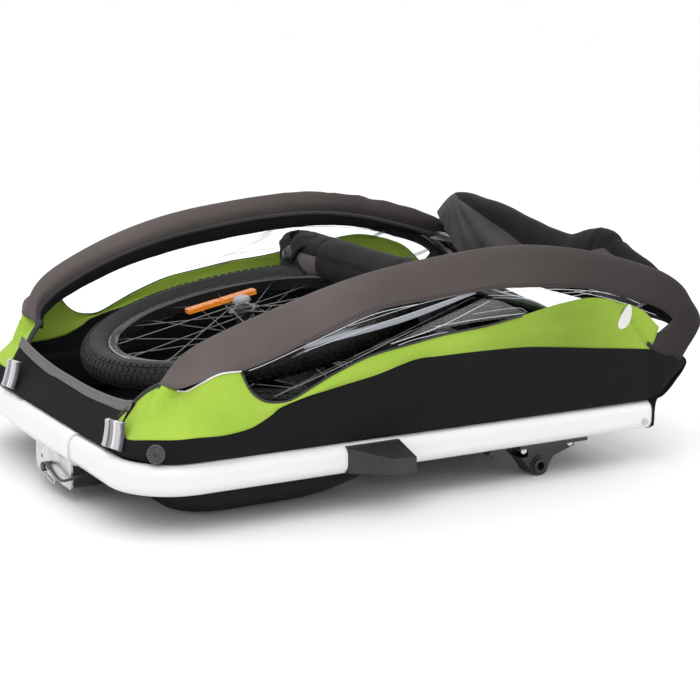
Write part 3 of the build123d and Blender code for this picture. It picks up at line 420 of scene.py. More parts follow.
def link_mesh(name, points, faces, material, uvs=None, smooth=True, slots=None):
    mesh = bpy.data.meshes.new(name)
    mesh.from_pydata([tuple(p) for p in points], [], faces)
    mesh.validate()
    obj = bpy.data.objects.new(name, mesh)
    bpy.context.scene.collection.objects.link(obj)
    for one in material if isinstance(material, (list, tuple)) else [material]:
        mesh.materials.append(one)
    if uvs is not None:
        layer = mesh.uv_layers.new(name="cloth")
        for loop in mesh.loops:
            layer.data[loop.index].uv = uvs[loop.vertex_index]
    for polygon in mesh.polygons:
        polygon.use_smooth = smooth
        if slots is not None:
            polygon.material_index = slots[polygon.index]
    return obj


def grid_normals(grid, side):
    rows, count = len(grid), len(grid[0])
    normals = []
    for r in range(rows):
        line = []
        for c in range(count):
            run = grid[r][min(c + 1, count - 1)] - grid[r][max(c - 1, 0)]
            rise = grid[min(r + 1, rows - 1)][c] - grid[max(r - 1, 0)][c]
            line.append(run.cross(rise).normalized() * side)
        normals.append(line)
    return normals


HOOP_ROUTE = [(-398, -270, 122), (-380, -270, 174), (-343, -288, 222), (-298, -306, 256), (-215, -322, 290),
              (-128, -326, 314), (-35, -326, 329), (60, -326, 338), (150, -326, 339), (230, -326, 328),
              (290, -326, 310), (352, -326, 286), (408, -326, 252), (443, -326, 214), (433, -326, 184)]
HOOP_FINE = [Vector(p) for p in flow(HOOP_ROUTE, 6)]


# the furthest, in mm, that cloth is lifted off its own line to clear the tube
MOST_LIFT = 39.0


def off_hoop(point, normal, room):
    """How far the cloth must stand out along its normal to lie over the tube."""
    lift = 0.0
    for near in HOOP_FINE:
        gap = point - near
        along = gap.dot(normal)
        spare = along * along - gap.length_squared + room * room
        if spare > 0.0 and -along - math.sqrt(spare) < MOST_LIFT:
            lift = max(lift, math.sqrt(spare) - along)
    return min(lift, MOST_LIFT)


def on_body(p, side):
    """A point in millimetres, given for the left side, as metres on the side asked for."""
    return p.x * MM, p.y * MM * side * NEAR, p.z * MM


# the cloth ahead of this x is lifted; the bracket's top lies between these heights
HOOP_LEGS_END = -330
BRACKET_ROOM = 10.0
BRACKET_TOP = (128.0, 150.0)


def cloth(name, rows, material, side=NEAR, thick=1.4, along=5, across=4, folds=None, lining=None,
          hoop_room=0.0):
    """A closed thin sheet from rows in millimetres given for the left side; side FAR mirrors it.
    folds(u, v, point) gives how far, in millimetres, the cloth stands out there. hoop_room is how far
    the cloth keeps from the front leg of the hoop tube, and it keeps further off the leg's bracket."""
    grid = weave_rows(rows, along, across)
    normals = grid_normals(grid, -NEAR)
    height, width = len(grid), len(grid[0])
    if folds:
        for r in range(height):
            for c in range(width):
                lift = folds(c / (width - 1), r / (height - 1), grid[r][c])
                if hoop_room and grid[r][c].x < HOOP_LEGS_END:
                    room = hoop_room + BRACKET_ROOM * (1.0 - fade(grid[r][c].z, *BRACKET_TOP))
                    lift = max(lift, off_hoop(grid[r][c], normals[r][c], room))
                grid[r][c] = grid[r][c] + normals[r][c] * lift
        normals = grid_normals(grid, -NEAR)
    middle = grid[height // 2]
    runs = [0.0]
    for c in range(1, width):
        runs.append(runs[-1] + (middle[c] - middle[c - 1]).length)
    rises = [0.0]
    for r in range(1, height):
        rises.append(rises[-1] + (grid[r][width // 2] - grid[r - 1][width // 2]).length)
    points, uvs = [], []
    for layer in (0.0, thick):
        for r in range(height):
            for c in range(width):
                points.append(on_body(grid[r][c] - normals[r][c] * layer, side))
                uvs.append((runs[c] * MM, rises[r] * MM))

    def at(layer, r, c):
        return layer * height * width + r * width + c

    faces, slots = [], []
    for r in range(height - 1):
        for c in range(width - 1):
            faces.append((at(0, r, c), at(0, r, c + 1), at(0, r + 1, c + 1), at(0, r + 1, c)))
            slots.append(0)
            faces.append((at(1, r, c), at(1, r + 1, c), at(1, r + 1, c + 1), at(1, r, c + 1)))
            slots.append(0 if lining is None else 1)
    for c in range(width - 1):
        faces.append((at(0, 0, c), at(1, 0, c), at(1, 0, c + 1), at(0, 0, c + 1)))
        faces.append((at(0, height - 1, c), at(0, height - 1, c + 1), at(1, height - 1, c + 1),
                      at(1, height - 1, c)))
        slots += [0, 0]
    for r in range(height - 1):
        faces.append((at(0, r, 0), at(0, r + 1, 0), at(1, r + 1, 0), at(1, r, 0)))
        faces.append((at(0, r, width - 1), at(1, r, width - 1), at(1, r + 1, width - 1),
                      at(0, r + 1, width - 1)))
        slots += [0, 0]
    if side == FAR:
        faces = [tuple(reversed(face)) for face in faces]
    materials = [material] if lining is None else [material, lining]
    obj = link_mesh(name, points, faces, materials, uvs, True, slots)
    area = sum(polygon.area for polygon in obj.data.polygons) / 2
    return obj, (runs[-1] * MM, area / (runs[-1] * MM))


def settle(obj):
    """Applies every modifier, so that the piece is a plain mesh."""
    deps = bpy.context.evaluated_depsgraph_get()
    mesh = bpy.data.meshes.new_from_object(obj.evaluated_get(deps), depsgraph=deps,
                                           preserve_all_data_layers=True)
    obj.modifiers.clear()
    obj.data = mesh
    return obj


# radii in one turn round a cord
GIRTH = 6.28


def roll(name, points, radius, material, side=NEAR, turns=8, flat=1.0):
    """A round cord of cloth through points in millimetres; flat below 1 presses it down."""
    line = [Vector((p[0], p[1] * side * NEAR, p[2])) for p in points]
    count = len(line)
    lengths = [0.0]
    for index in range(1, count):
        lengths.append(lengths[-1] + (line[index] - line[index - 1]).length)
    verts, uvs, faces = [], [], []
    for index, point in enumerate(line):
        before = line[index - 1] if index else point
        after = line[index + 1] if index < count - 1 else point
        run = (after - before).normalized()
        across = run.cross(UP)
        if across.length < 0.2:
            across = run.cross(Vector((0, 1, 0)))
        across.normalize()
        up = across.cross(run).normalized()
        for turn in range(turns):
            angle = 2 * math.pi * turn / turns
            offset = across * (math.cos(angle) * radius) + up * (math.sin(angle) * radius * flat)
            verts.append((point + offset) * MM)
            uvs.append((lengths[index] * MM, turn / turns * radius * GIRTH * MM))
    faces += ring_faces(count, turns)
    faces.append(tuple(reversed(range(turns))))
    faces.append(tuple(range((count - 1) * turns, count * turns)))
    obj = link_mesh(name, verts, faces, material, uvs)
    outward(obj)
    return obj


def ring_faces(rings, turns):
    """The faces between rings of points that follow one another."""
    faces = []
    for ring in range(rings - 1):
        for turn in range(turns):
            a, b = ring * turns + turn, ring * turns + (turn + 1) % turns
            faces.append((a, b, b + turns, a + turns))
    return faces


def outward(obj, weld=0.0):
    """Turns every face outwards, after joining the points that lie within weld metres."""
    made = bmesh.new()
    made.from_mesh(obj.data)
    if weld:
        bmesh.ops.remove_doubles(made, verts=made.verts, dist=weld)
    bmesh.ops.recalc_face_normals(made, faces=made.faces)
    made.to_mesh(obj.data)
    made.free()


def ripple(point, scale, seed=0.0, stretch=(1.0, 1.0, 1.0)):
    """Smooth noise from -1 to 1 at a point in millimetres."""
    p = Vector((point[0] * stretch[0] + seed * 31.7, point[1] * stretch[1] - seed * 17.3,
                point[2] * stretch[2]))
    return noise.noise(p * scale)


def fade(value, low, high):
    t = min(1.0, max(0.0, (value - low) / (high - low)))
    return t * t * (3 - 2 * t)


def axes_across(out):
    """Two directions square to out and to each other."""
    across = out.cross(UP).normalized()
    return across, across.cross(out).normalized()


# points closer than this many metres are joined
WELD = 0.00002


def disc(name, profile, centre, out, material, turns=36, side=NEAR):
    """A turned piece: rings of (radius, height) in millimetres about an axis; side FAR mirrors it."""
    out = Vector(out).normalized()
    across, up = axes_across(out)
    points = []
    for radius, height in profile:
        for turn in range(turns):
            angle = 2 * math.pi * turn / turns
            spoke = across * math.cos(angle) * radius + up * math.sin(angle) * radius
            points.append(on_body(Vector(centre) + out * height + spoke, side))
    obj = link_mesh(name, points, ring_faces(len(profile), turns), material)
    outward(obj, WELD)
    return obj


def finish_piece(obj, body, slot, *replaced):
    """Says which body carries the piece and the CAD nodes it stands for; slot is not used."""
    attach(obj, body)
    if replaced:
        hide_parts(*replaced)
    return obj


def dress(material, *names):
    """Gives CAD nodes their finish."""
    for name in names:
        mesh = nodes[name].data
        mesh.materials.clear()
        mesh.materials.append(material)


# ------------------------------------------------------------ CAD pieces that keep their shape
dress(WHITE_PAINT, "frame_rail_left", "frame_rail_right", "bumper_sleeve")
dress(BLACK_PLASTIC, "rail_end_caps", "hitch_socket", "side_guards", "rail_clamps", "axle_bushes")
dress(ZINC, "rail_rivets", "receiver_plate", "pin_clip", "bracket_bolts", "pivot_pins", "upper_axle",
      "lower_axle")
dress(BLACK_PAINT, "axle_bracket_left", "axle_bracket_right", "pivot_brackets")
dress(GREY_TUBE, "axle_tube", "seat_bar", "rear_bar", "hoop_tube_left", "hoop_tube_right", "hoop_cross_tube",
      "backrest_frame")
dress(KNOB_PLASTIC, "lock_pin")
WHEELS = {
    "upper": {"centre": (-0.110, 0.030, 0.2012), "turn": (0.0, math.radians(-10.9), 0.0)},
    "lower": {"centre": (-0.030, -0.045, 0.1259), "turn": (math.radians(-3.43), 0.0, 0.0)},
}
for place, spec in WHEELS.items():
    dress(TYRE, f"{place}_tyre")
    # painted light: the upper rim's edge is made pale, where it catches the light, and the lower rim's edge
    # dark, though the two rims are alike
    edge = 0.62 if place == "upper" else 0.05
    dress(rim_finish(f"{place}_rim_finish", spec["centre"], spec["turn"], edge), f"{place}_rim")
    dress(DARK_STEEL, f"{place}_spokes")
    dress(HUB_PLASTIC, f"{place}_hub")
    dress(GREY_PLASTIC, f"{place}_release_button")
    dress(AMBER, f"{place}_reflector")

# ------------------------------------------------------------ the pull pin's tether
TETHER_POINTS = [
    (-455.0, -20.5, 40.0),
    (-457.5, -34.0, 42.5),
    (-458.5, -54.0, 40.0),
    (-459.0, -77.0, 34.0),
    (-459.0, -99.0, 33.0),
    (-455.5, -114.5, 38.0),
    (-445.0, -121.0, 43.0),
    (-424.3, -121.0, 46.0),
]
TETHER_DIAMETER = 0.004


def cord_curve(name, points, diameter, material):
    data = bpy.data.curves.new(name, "CURVE")
    data.dimensions = "3D"
    data.bevel_depth = diameter / 2
    data.bevel_resolution = 4
    data.resolution_u = 12
    data.use_fill_caps = True
    line = data.splines.new("NURBS")
    line.points.add(len(points) - 1)
    for knot, point in zip(line.points, points):
        knot.co = (point[0] * MM, point[1] * MM, point[2] * MM, 1.0)
    line.order_u = 3
    line.use_endpoint_u = True
    data.materials.append(material)
    obj = bpy.data.objects.new(name, data)
    bpy.context.scene.collection.objects.link(obj)
    return obj


TETHER_COAT = moulded("tether_coat", (0.011, 0.011, 0.012), 0.4, 0.00008)
tether = cord_curve("tether_cable", TETHER_POINTS, TETHER_DIAMETER, TETHER_COAT)
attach(tether, "chassis")
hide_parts("pin_tether")

# ------------------------------------------------------------ outlines of the side cloth, left side, mm
RAIL_LINE = [(-436, -204, 103), (-434, -232, 103), (-429, -262, 103), (-412, -300, 103), (-392, -322, 103),
             (-372, -331, 103), (-345, -334, 103), (-320, -335, 103), (-290, -336, 103), (-268, -336, 103),
             (-252, -336, 103), (-238, -336, 103), (-203, -337, 103), (-174, -337, 103), (-145, -337, 103),
             (-92, -337, 103), (-35, -338, 103), (10, -338, 103), (71, -338, 103), (145, -338, 103),
             (225, -338, 103), (296, -338, 103), (350, -338, 103), (381, -338, 104)]
LIME_FOOT = [(-423, -206, 121), (-421, -233, 124), (-423, -266, 127), (-411, -304, 134), (-385, -331, 137),
             (-357, -338, 138), (-332, -343, 138), (-312, -344, 139), (-286, -345, 143), (-268, -345, 150),
             (-253, -345, 158), (-240, -345, 166), (-203, -345, 176), (-174, -345, 181), (-145, -345, 186),
             (-92, -345, 195), (-35, -345, 209), (4, -345, 210), (71, -345, 210), (145, -345, 208),
             (205, -345, 202), (270, -345, 194), (330, -345, 187), (368, -345, 182)]
LIME_HEAD = [(-412, -204, 142), (-397, -216, 161), (-382, -228, 178), (-366, -241, 190), (-366, -275, 192),
             (-360, -305, 194), (-349, -332, 209), (-327, -343, 221), (-298, -345, 222), (-286, -345, 197),
             (-271, -345, 182), (-253, -345, 175), (-226, -345, 175), (-189, -345, 191), (-159, -345, 204),
             (-105, -345, 222), (-42, -345, 232), (14, -345, 240), (79, -345, 245), (141, -345, 254),
             (205, -345, 265), (270, -345, 268), (345, -345, 246), (384, -345, 214)]
SKIRT_CREST = [(-380, -271, 198), (-352, -288, 241), (-300, -306, 271), (-215, -322, 303), (-128, -326, 326),
               (-35, -326, 341), (60, -326, 350), (150, -326, 351), (230, -326, 341), (290, -326, 327),
               (352, -324, 309), (402, -322, 291), (440, -322, 268), (463, -322, 243), (478, -322, 220),
               (476, -322, 205), (430, -322, 157)]
SKIRT_FOOT = [(-298, -346, 222), (-259, -346, 231), (-205, -346, 249), (-154, -346, 266), (-93, -346, 284),
              (2, -346, 291), (96, -346, 296), (180, -346, 291), (260, -346, 281), (328, -346, 261),
              (380, -346, 243), (407, -346, 224), (398, -346, 209), (371, -346, 201), (364, -346, 187),
              (391, -346, 172), (421, -344, 159)]
# how far the cloth's line keeps from the middle of the hoop tube, in mm
SIDE_HOOP_ROOM = 12.5
SKIRT_HOOP_ROOM = 12.0


def hang(obj):
    """A piece of the side cloth, its placement baked into its points."""
    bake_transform(obj)
    return obj


def between(first, second, share, bulge=0.0):
    """A line part of the way from one line to the next, moved sideways by bulge."""
    shift = (0.0, bulge, 0.0)
    return [tuple(a + (b - a) * share + aside for a, b, aside in zip(p, q, shift))
            for p, q in zip(first, second)]


def lower_folds(u, v, p):
    """Deep slack creases in the black side, running back and down."""
    slack = math.sin(math.pi * v) * fade(u, 0.12, 0.35)
    slant = (p[0] * 0.8 + p[2] * 1.6, p[1], p[2] * 1.4 - p[0] * 0.35)
    crease = ripple(slant, 0.012, 1.0, (0.7, 1.0, 1.6)) * 5.5
    crease += ripple(slant, 0.03, 2.0, (0.5, 1.0, 1.6)) * 2.0
    tuck = -5.0 * math.exp(-((p[2] - 0.42 * p[0] - 150.0) / 9.0) ** 2) * fade(p[0], -120, -60) \
        * (1.0 - fade(p[0], 60, 110))
    return slack * (crease + tuck)


def lime_folds(u, v, p):
    front = 1.0 - fade(u, 0.25, 0.4)
    pull = math.exp(-((u - 0.16 - 0.1 * v) / 0.03) ** 2) * 2.4 * front
    fold = -4.5 * math.exp(-((p[0] - 312.0 - (251.0 - p[2]) * 0.8) / 5.0) ** 2) * fade(v, 0.0, 0.2)
    dent = -3.0 * math.exp(-(((p[0] - 215.0) / 45.0) ** 2 + ((p[2] - 240.0) / 9.0) ** 2))
    soft = ripple(p, 0.013, 3.0, (0.8, 1.0, 1.6)) * 2.8 + pull * math.sin(math.pi * v)
    return math.sin(math.pi * v) * soft + fold + dent


def black_side(side, word):
    foot = RAIL_LINE + [(392, -340, 106), (412, -338, 126), (426, -336, 142)]
    head = LIME_FOOT + [(394, -345, 176), (418, -345, 168), (436, -343, 160)]
    rows = [foot, between(foot, head, 0.34, -4.0), between(foot, head, 0.7, -3.0), head]
    return cloth(f"black_side_{word}", rows, BLACK_CLOTH, side, 1.6, 5, 6, lower_folds,
                 hoop_room=SIDE_HOOP_ROOM)


def lime_side(side, word):
    rows = [LIME_FOOT, between(LIME_FOOT, LIME_HEAD, 0.34, -2.5), between(LIME_FOOT, LIME_HEAD, 0.68, -2.0),
            LIME_HEAD]
    return cloth(f"lime_side_{word}", rows, LIME, side, 1.4, 6, 6, lime_folds, hoop_room=SIDE_HOOP_ROOM)


# how far the hoop cover reaches in over the tube, in mm
SKIRT_REACH = 17.5


def skirt_rows():
    """The hoop cover's lines, from its foot on the side up over the tube and down inside."""
    inner_low, inner, outer, middle = [], [], [], []
    for (x, y, z), foot in zip(SKIRT_CREST, SKIRT_FOOT):
        inner.append((x, y + SKIRT_REACH, z - 15))
        inner_low.append((x + 1, y + SKIRT_REACH - 1, z - 31))
        drop = min(9.0, (z - foot[2]) * 0.25)
        outer.append((x + (foot[0] - x) * 0.15, y - 15.0, z - drop))
        middle.append((x + (foot[0] - x) * 0.55, min(-344.0, y - 19.0), z + (foot[2] - z) * 0.55))
    inner_low[0], inner[0] = (-368, -242, 186), (-373, -250, 194)
    outer[0], middle[0] = (-370, -306, 199), (-350, -336, 213)
    return [SKIRT_FOOT, middle, outer, SKIRT_CREST, inner, inner_low]


def skirt_folds(side):
    def lift(u, v, p):
        v = 1.0 - v
        body = fade(v, 0.05, 0.3) * (1.0 - fade(v, 0.85, 1.0))
        rear = fade(u, 0.62, 0.85)
        soft = ripple(p, 0.009, 5.0, (0.7, 1.0, 1.5)) * 2.4
        tight = 0.0
        if side == FAR:
            gather = fade(u, 0.36, 0.5) * (1.0 - fade(u, 0.9, 1.0))
            tight = ripple(p, 0.05, 6.0, (1.0, 0.2, 0.25)) * 3.2 * gather * (1.0 - fade(v, 0.5, 0.8))
        return body * (soft + rear * ripple(p, 0.018, 7.0) * 3.0) + tight
    return lift


def skirt(side, word):
    return cloth(f"hoop_skirt_{word}", skirt_rows(), WARM_GREY, side, 1.5, 6, 4, skirt_folds(side),
                 EDGE_BINDING, SKIRT_HOOP_ROOM)


WINDOW_PLANE = -343.0
WINDOW_HEAD = [(-298, 224), (-259, 234), (-205, 252), (-154, 269), (-93, 287), (2, 295), (96, 300),
               (180, 295), (260, 285), (328, 265), (380, 247), (409, 226)]
WINDOW_FOOT = [(-291, 208), (-271, 180), (-226, 172), (-189, 188), (-130, 211), (-42, 229), (79, 242),
               (150, 245), (225, 240), (300, 225), (345, 212), (372, 198)]


def standing(outline, y):
    """Points from (x, z) pairs, all in the upright plane at y."""
    return [(x, y, z) for x, z in outline]


def window_rows():
    upper = standing(WINDOW_HEAD, WINDOW_PLANE)
    lower = standing(WINDOW_FOOT, WINDOW_PLANE)
    return [lower, between(lower, upper, 0.35, 1.5), between(lower, upper, 0.7, 1.0), upper]


def film_folds(u, v, p):
    """Long low waves that run down towards the front."""
    long = (p[0] * 0.0035, 0.0, (p[2] - 0.30 * p[0]) * 0.055)
    return math.sin(math.pi * v) * noise.noise(Vector(long)) * 3.5


def window(side, word):
    return cloth(f"clear_window_{word}", window_rows(), FILM, side, 0.5, 7, 5, film_folds)


def window_edges(side, word):
    """The white piping at the film's front end and the dark binding along its foot."""
    white_line = flow([(x, y - 1.2, z) for x, y, z in LIME_HEAD[3:9]], 6)
    hang(roll(f"white_edge_{word}", white_line, 1.3, PIPING, side))
    foot_line = flow([(x, y - 0.8, z) for x, y, z in LIME_HEAD[8:20]], 5)
    hang(roll(f"window_edge_{word}", foot_line, 1.5, EDGE_BINDING, side))


SIDE_CLOTHS = ((black_side, "black_fabric"), (lime_side, "side_fabric"), (window, "clear_vinyl"))
for side, word in SIDES:
    stretched = []
    for make, slot in SIDE_CLOTHS:
        piece, size = make(side, word)
        stretched.append((piece, slot, size))
    window_edges(side, word)
    for piece, slot, size in stretched:
        hang(piece)
    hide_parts(f"side_panel_{word}")
    cover, size = skirt(side, word)
    finish_piece(cover, "cage", "sleeve_fabric", f"hoop_sleeve_{word}")
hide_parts("side_bands")
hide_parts("side_windows")

# ------------------------------------------------------------ front panel, hem, corners
HEM_LINE = [(-398, -222, 164), (-395, -185, 156), (-396, -130, 151), (-398, -60, 149), (-399, 0, 150),
            (-400, 60, 152), (-401, 120, 157), (-400, 175, 163), (-398, 222, 170)]
PANEL_FOOT = [(-437, -222, 105), (-438, -185, 105), (-440, -130, 105), (-441, -60, 106), (-441, 0, 106),
              (-441, 60, 106), (-440, 120, 105), (-438, 175, 105), (-437, 222, 105)]


def front_folds(u, v, p):
    return math.sin(math.pi * v) * (ripple(p, 0.012, 8.0, (1.0, 0.7, 1.0)) * 2.6 + 1.0)


front_rows = [PANEL_FOOT, between(PANEL_FOOT, HEM_LINE, 0.33), between(PANEL_FOOT, HEM_LINE, 0.68), HEM_LINE]
front_rows = [list(reversed(row)) for row in front_rows]
front, size = cloth("front_apron", front_rows, BLACK_CLOTH, NEAR, 1.6, 8, 5, front_folds)
finish_piece(front, "chassis", "black_fabric", "front_panel")

hem_low = [(x - 8.5, y, z - 9.0) for x, y, z in HEM_LINE]
hem_high = [(x - 1.0, y, z + 5.0) for x, y, z in HEM_LINE]
hem_back = [(x + 5.0, y, z - 3.0) for x, y, z in HEM_LINE]
hem_rows = [list(reversed(row)) for row in (hem_low, between(hem_low, hem_high, 0.5), hem_high, hem_back)]
hem, size = cloth("hem_webbing", hem_rows, WEBBING, NEAR, 1.2, 8, 3)
finish_piece(hem, "chassis", "grey_webbing", "front_hem")

PATCH_CENTRE = Vector((-407, -315, 117))
PATCH_OUT = Vector((-0.72, -0.67, 0.17)).normalized()


# a raised middle, a field and a rim ring, as (radius, height) in mm
PATCH_FORM = [(0, 2.8), (3.0, 2.8), (4.2, 1.6), (9.8, 1.3), (10.6, 2.0), (12.2, 2.0), (13.2, 1.0),
              (13.5, 0.0), (13.2, -1.0), (0, -1.0)]
PATCH_RUBBER = moulded("patch_rubber", (0.016, 0.016, 0.018), 0.5, 0.0002, 500.0)
patches = [disc(f"corner_patch_{word}", PATCH_FORM, PATCH_CENTRE, PATCH_OUT, PATCH_RUBBER, 40, side)
           for side, word in SIDES]
for patch in patches:
    finish_piece(patch, "chassis", "patch_rubber")
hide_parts("corner_patches")
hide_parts("corner_panels")

# ------------------------------------------------------------ crease ridges with painted highlights, tape, fold and tab of the side windows
# painted highlight: the crease ridges are pale grey for the light caught along the film's folds; the dim ones
# are painted dark
CREASE_HIGHLIGHT = moulded("film_crease", (0.62, 0.63, 0.66), 0.2, 0.00002)
DIM_CREASE = moulded("film_crease_dim", (0.10, 0.10, 0.105), 0.25, 0.00002)
PALE_TAPE = woven("pale_tape", (0.36, 0.37, 0.41), (0.28, 0.29, 0.33), 0.0012, 0.6, 0.02)
# each crease: its line as (x, z) pairs, and its half width in mm
CREASE_LINES = [
    (((-136, 266), (-27, 286), (65, 296)), 0.6), (((-72, 235), (4, 251), (87, 280)), 0.8),
    (((-2, 252), (71, 256), (147, 257)), 0.8), (((100, 292), (171, 272), (205, 266)), 0.6),
    (((110, 291), (205, 286), (298, 271), (348, 252)), 0.9), (((120, 294), (215, 291), (310, 266)), 0.6),
    (((-204, 238), (-100, 262), (40, 291)), 0.6), (((-60, 232), (-30, 238), (20, 243)), 0.7),
    (((230, 281), (300, 262), (378, 232)), 0.7), (((150, 258), (130, 266), (60, 264)), 0.5),
    (((-240, 186), (-120, 226), (60, 288)), 0.45), (((-130, 224), (-20, 255), (80, 285)), 0.5),
    (((84, 288), (150, 282), (250, 279)), 0.5), (((92, 284), (190, 274), (262, 276)), 0.45),
    (((-286, 221), (-259, 228), (-205, 245), (-154, 262), (-96, 279), (-30, 286)), 0.9),
    (((-250, 182), (-150, 212), (-40, 250)), 1.3),
]
CREASE_PLANE = {NEAR: -344.4, FAR: -343.6}
CREASE_COUNT = {NEAR: len(CREASE_LINES), FAR: 6}
DIM_CREASES = (10, 11, 15)


def creases(side, word):
    """Thin ridges along the film's folds, pale grey as painted highlights, and a few dim ones painted dark.
    """
    for index, (line, radius) in enumerate(CREASE_LINES[:CREASE_COUNT[side]]):
        path = flow(standing(line, CREASE_PLANE[side]), 6)
        finish = DIM_CREASE if index in DIM_CREASES else CREASE_HIGHLIGHT
        hang(roll(f"film_crease_{word}_{index}", path, radius, finish, side, 6, 0.5))


TAPE_PLANE = -342.2
TAPE_HEAD = [(-200, 249), (-56, 271), (60, 297)]
TAPE_FOOT = [(-204, 241), (-56, 262), (66, 292)]


def window_tape(side, word):
    """A pale tape behind the film."""
    rows = [standing(TAPE_FOOT, TAPE_PLANE), standing(TAPE_HEAD, TAPE_PLANE)]
    hang(cloth(f"window_tape_{word}", rows, PALE_TAPE, side, 0.6, 12, 2)[0])


FOLD_PLANE = -338.5
FOLD_FOOT = [(-72, 230), (-34, 239), (23, 247), (87, 251), (143, 249)]
FOLD_HEAD = [(-62, 236), (-5, 256), (50, 273), (95, 281), (150, 257)]


def film_fold(side, word):
    """A hazy flap of film folded down behind the window."""
    rows = [standing(FOLD_FOOT, FOLD_PLANE), standing(FOLD_HEAD, FOLD_PLANE)]
    fold, size = cloth(f"film_fold_{word}", rows, HAZY_FILM, side, 0.4, 10, 6)
    hang(fold)


TAB_MIDDLE = Vector((319, -349.5, 236))
TAB_HALF_WIDTH = 10.5
TAB_TAPER = 3.5
TAB_LEAN = 5.5
TAB_HALF_HEIGHT = 17.5
TAB_THICK = 2.4
TAB_TURNS = 20


def white_tab(side, word):
    """An almond-shaped tab, narrower at its top and leaning back."""
    ring = []
    for step in range(TAB_TURNS):
        angle = 2 * math.pi * step / TAB_TURNS
        wide, tall = math.cos(angle), math.sin(angle)
        along = wide * (TAB_HALF_WIDTH - TAB_TAPER * tall) + TAB_LEAN * tall
        ring.append(TAB_MIDDLE + Vector((along, 0.0, 2.0 * wide + tall * (TAB_HALF_HEIGHT + 1.5 * wide))))
    points = [on_body(p + Vector((0.0, depth, 0.0)), side) for depth in (0.0, TAB_THICK) for p in ring]
    faces = [tuple(range(TAB_TURNS)), tuple(reversed(range(TAB_TURNS, 2 * TAB_TURNS)))]
    faces += [(a, d, c, b) for a, b, c, d in ring_faces(2, TAB_TURNS)]
    tab = link_mesh(f"white_tab_{word}", points, faces, PIPING, None, False)
    outward(tab)
    hang(tab)


for side, word in SIDES:
    creases(side, word)
    if side == NEAR:
        window_tape(side, word)
        film_fold(side, word)
        white_tab(side, word)

# ------------------------------------------------------------ padded pieces
# the longest piece, in mm, of a pad's outline
PAD_PIECE = 9.0


def box_pad(name, corners, half, material, stations):
    """A pad whose section is a closed outline in XZ, run from -half to half, with rounded ends."""
    outline = [Vector((x, 0, z)) for x, z in corners]
    middle = sum(outline, Vector()) / len(outline)
    dense = []
    for index, point in enumerate(outline):
        after = outline[(index + 1) % len(outline)]
        pieces = max(1, int((after - point).length / PAD_PIECE))
        dense += [point.lerp(after, step / pieces) for step in range(pieces)]
    points = []
    for station in range(stations + 1):
        t = station / stations * 2 - 1
        shrink = 1.0 - 0.10 * abs(t) ** 8
        for p in dense:
            q = middle + (p - middle) * shrink
            points.append((q.x * MM, t * half * MM, q.z * MM))
    count = len(dense)
    faces = ring_faces(stations + 1, count)
    faces.append(tuple(range(count)))
    faces.append(tuple(reversed(range(stations * count, (stations + 1) * count))))
    obj = link_mesh(name, points, faces, material)
    outward(obj)
    return obj


def puff(obj, voxel=0.006, pressure=4.0, cap=0.006, frames=16):
    """Swells a closed shape as stuffed cloth, no point further than the cap, and smooths it."""
    remesh = obj.modifiers.new("even", "REMESH")
    remesh.mode = "VOXEL"
    remesh.voxel_size = voxel
    materials = list(obj.data.materials)
    settle(obj)
    scene = bpy.context.scene
    start = [v.co.copy() for v in obj.data.vertices]
    stuffing = obj.modifiers.new("stuffing", "CLOTH")
    stuffing.settings.use_pressure = True
    stuffing.settings.uniform_pressure_force = pressure
    stuffing.settings.effector_weights.gravity = 0.0
    stuffing.settings.quality = 5
    stuffing.settings.tension_stiffness = 25.0
    stuffing.settings.bending_stiffness = 4.0
    stuffing.point_cache.frame_end = frames + 2
    for step in range(1, frames + 1):
        scene.frame_set(step)
    settle(obj)
    for vertex, before in zip(obj.data.vertices, start):
        moved = vertex.co - before
        if moved.length > cap:
            vertex.co = before + moved * (cap / moved.length)
    scene.frame_set(1)
    smooth = obj.modifiers.new("even_out", "SMOOTH")
    smooth.factor = 0.6
    smooth.iterations = 4
    settle(obj)
    obj.data.materials.clear()
    for one in materials:
        obj.data.materials.append(one)
    for polygon in obj.data.polygons:
        polygon.use_smooth = True
    return obj


def press(obj, rule):
    """Moves each point along its normal by rule(point in mm), in mm: seams, channels and dents."""
    mesh = obj.data
    normals = [n.vector.copy() for n in mesh.vertex_normals]
    for vertex, normal in zip(mesh.vertices, normals):
        vertex.co += normal * rule(vertex.co / MM) * MM


def paint(obj, rule):
    """Chooses each face's cloth by rule(centre in mm)."""
    for polygon in obj.data.polygons:
        polygon.material_index = rule(polygon.center / MM)


BACK_FACE = [(335, 140), (285, 214), (203, 256), (122, 282), (124, 271), (199, 246), (277, 206), (326, 134)]
back_pad = box_pad("seat_back_pad", BACK_FACE, 264.0, CHARCOAL, 40)
back_pad.data.materials.append(SEAT_GREY)
puff(back_pad)


def back_seams(p):
    seam = 0.0
    for line in (-190.0, -62.0, 62.0, 190.0):
        seam -= 3.4 * math.exp(-((p.y - line) / 5.0) ** 2)
    for line in (160.0, 214.0, 262.0):
        seam -= 2.2 * math.exp(-((p.x - line) / 5.0) ** 2)
    return seam + ripple(p, 0.03, 11.0) * 0.8


press(back_pad, back_seams)
paint(back_pad, lambda c: 1 if 62.0 < abs(c.y) < 190.0 and c.x > 150 else 0)
finish_piece(back_pad, "backrest", "seat_fabric", "backrest_pad")

HEAD_FACE = [(110, 294), (104, 301), (84, 302), (64, 297), (58, 286), (56, 262), (60, 240), (72, 239),
             (70, 262), (71, 284), (90, 290), (100, 287)]
head_pad = box_pad("headrest_pad", HEAD_FACE, 252.0, CHARCOAL, 40)
head_pad.data.materials.append(SEAT_GREY)
puff(head_pad, 0.0045, 3.0, 0.004)


